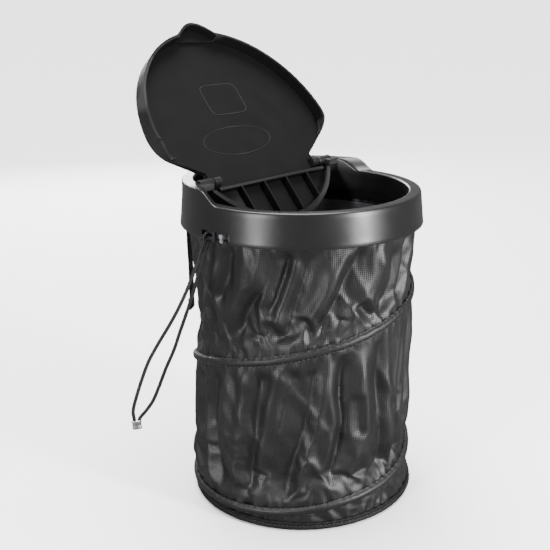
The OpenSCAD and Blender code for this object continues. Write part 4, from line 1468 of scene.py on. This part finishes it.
@dataclass
class BagEnds:
    """The round floor, the bound edge round the base and the bound top edge."""

    floor_radius: float = 74.7
    thick: float = 1.2
    hem_out: float = 80.1
    top_in: float = 74.3
    top_out: float = 75.6
    top_low: float = 197.0
    top_high: float = 213.5
    floor_sides: int = 96
    hem_sides: int = 480
    top_sides: int = 240
    stitch: float = 2.9
    stitch_radius: float = 79.65
    stitch_height: float = 3.8
    thread: float = 0.3

    def floor(self) -> bpy.types.Object:
        """Make the round floor with slight wrinkles."""
        azimuth = np.linspace(-180, 180, self.floor_sides, endpoint=False)
        radius = np.linspace(1.0, self.floor_radius, 22)
        rows = []
        for side in (1, 0):
            for r in (radius if side else radius[::-1]):
                place = on_circle(np.full_like(azimuth, r), azimuth, np.zeros_like(azimuth))
                bump = np.array([noise.noise(Vector(p / 21.0)) for p in place])
                inside = 1 - (r / self.floor_radius) ** 6
                place[:, 2] = side * self.thick + 0.35 * (1 + bump) * inside * side
                rows.append(place)
        writer = MeshWriter()
        around = np.append(azimuth, 180.0)
        first = writer.grid(np.array(rows), around, np.arange(len(rows) + 1.0),
                            close_along=True)
        writer.add_face(first + k for k in range(self.floor_sides))
        last = first + (len(rows) - 1) * self.floor_sides
        writer.add_face(last + k for k in range(self.floor_sides - 1, -1, -1))
        piece = writer.build("bag_floor_cloth")
        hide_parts("bag_floor")
        return dress(piece, LINING, Body.BASE)

    def base_binding(self) -> bpy.types.Object:
        """Make the bound edge round the base, gathered by its stitches."""
        azimuth = np.linspace(-180, 180, self.hem_sides, endpoint=False)
        around = np.radians(azimuth) * self.hem_out
        wobble = np.array([noise.noise(Vector((v / 13.0, 0.7, 0.0))) for v in around])
        pull = np.cos(around * 2 * np.pi / 6.1 + 5 * wobble)
        section = [(75.0, 0.0, 0), (77.5, 0.0, 0), (79.0, 0.35, 0.1), (80.0, 1.1, 0.2),
                   (80.4, 2.0, 0.3), (80.2, 2.7, 0.4), (79.6, 3.3, 0.5), (79.5, 3.9, 0.9),
                   (79.75, 4.6, 1.2), (79.6, 5.4, 1.6), (79.2, 6.0, 1.8), (78.7, 6.0, 1.4),
                   (78.5, 4.8, 0.6), (78.5, 2.4, 0), (77.6, 1.6, 0), (75.0, 1.5, 0)]
        rows = [on_circle(r + 0.2 * k * pull, azimuth, z + 0.25 * k * wobble * (z > 0.2))
                for r, z, k in section]
        writer = MeshWriter()
        writer.grid(np.array(rows), np.append(around, around[0] + 2 * np.pi * self.hem_out),
                    np.arange(len(rows) + 1.0), close_along=True, close_across=True)
        piece = writer.build("base_binding", sharp=60)
        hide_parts("bottom_hem")
        return dress(piece, BINDING, Body.BASE)

    def base_stitches(self) -> bpy.types.Object:
        """Make the row of stitches round the base's bound edge."""
        writer = MeshWriter()
        count = int(2 * math.pi * self.hem_out / self.stitch)
        for k in range(count):
            azimuth = -180 + 360 * (k + np.array([0.0, 0.2, 0.4, 0.6, 0.75])) / count
            radius = self.stitch_radius + np.array([-0.1, 0.15, 0.22, 0.15, -0.1])
            line = on_circle(radius, azimuth, np.full(len(radius), self.stitch_height))
            writer.tube(line, self.thread * np.array([0.6, 1.0, 1.0, 1.0, 0.6]), 5)
        piece = writer.build("base_stitches", sharp=90)
        return dress(piece, SEWING_THREAD, Body.BASE)

    def top_binding(self) -> bpy.types.Object:
        """Make the bound top edge, which the ring's channel hides."""
        azimuth = np.linspace(-180, 180, self.top_sides, endpoint=False)
        around = np.radians(azimuth) * self.top_out
        wave = 0.1 * np.cos(around * 2 * np.pi / 9.0)
        section = [(self.top_in + 0.2, self.top_low), (self.top_out - 0.2, self.top_low),
                   (self.top_out, self.top_low + 0.4), (self.top_out, self.top_high - 0.4),
                   (self.top_out - 0.2, self.top_high), (self.top_in + 0.2, self.top_high),
                   (self.top_in, self.top_high - 0.4), (self.top_in, self.top_low + 0.4)]
        rows = [on_circle(r + wave, azimuth, np.full_like(azimuth, z)) for r, z in section]
        writer = MeshWriter()
        writer.grid(np.array(rows), np.append(around, around[0] + 2 * np.pi * self.top_out),
                    np.arange(len(rows) + 1.0), close_along=True, close_across=True)
        piece = writer.build("top_binding", sharp=50)
        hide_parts("top_hem")
        return dress(piece, BINDING, Body.RIM)

    def build(self) -> None:
        """Make the bag's ends."""
        self.floor()
        self.base_binding()
        self.base_stitches()
        self.top_binding()


def finish_hidden_parts() -> None:
    """Give the CAD nodes that stay their own finishes."""
    for node, finish in (("clamp_ring", HIDDEN_PP), ("bottom_hoop", SPRING_STEEL)):
        material = bpy.data.materials.get(finish.name) or finish.make()
        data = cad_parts[node].data
        for index in range(len(data.materials)):
            data.materials[index] = material


def squash_with_bag(pieces: Iterable[bpy.types.Object]) -> None:
    """Give each piece its own copy of its mesh."""
    for piece in pieces:
        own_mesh(piece)


def main() -> None:
    """Build the scene: the studio and the cord first, then the parts and the bag."""
    logging.basicConfig(level=logging.INFO, format="%(name)s: %(message)s")
    Studio().build()
    CordLoop().build()
    HangStrap().build()
    Ring().build()
    Lid().build()
    bag = BagCloth().build()
    casing = SpiralCasing().build()
    BagEnds().build()
    finish_hidden_parts()
    squash_with_bag(bag + casing)


if __name__ == "__main__":
    main()
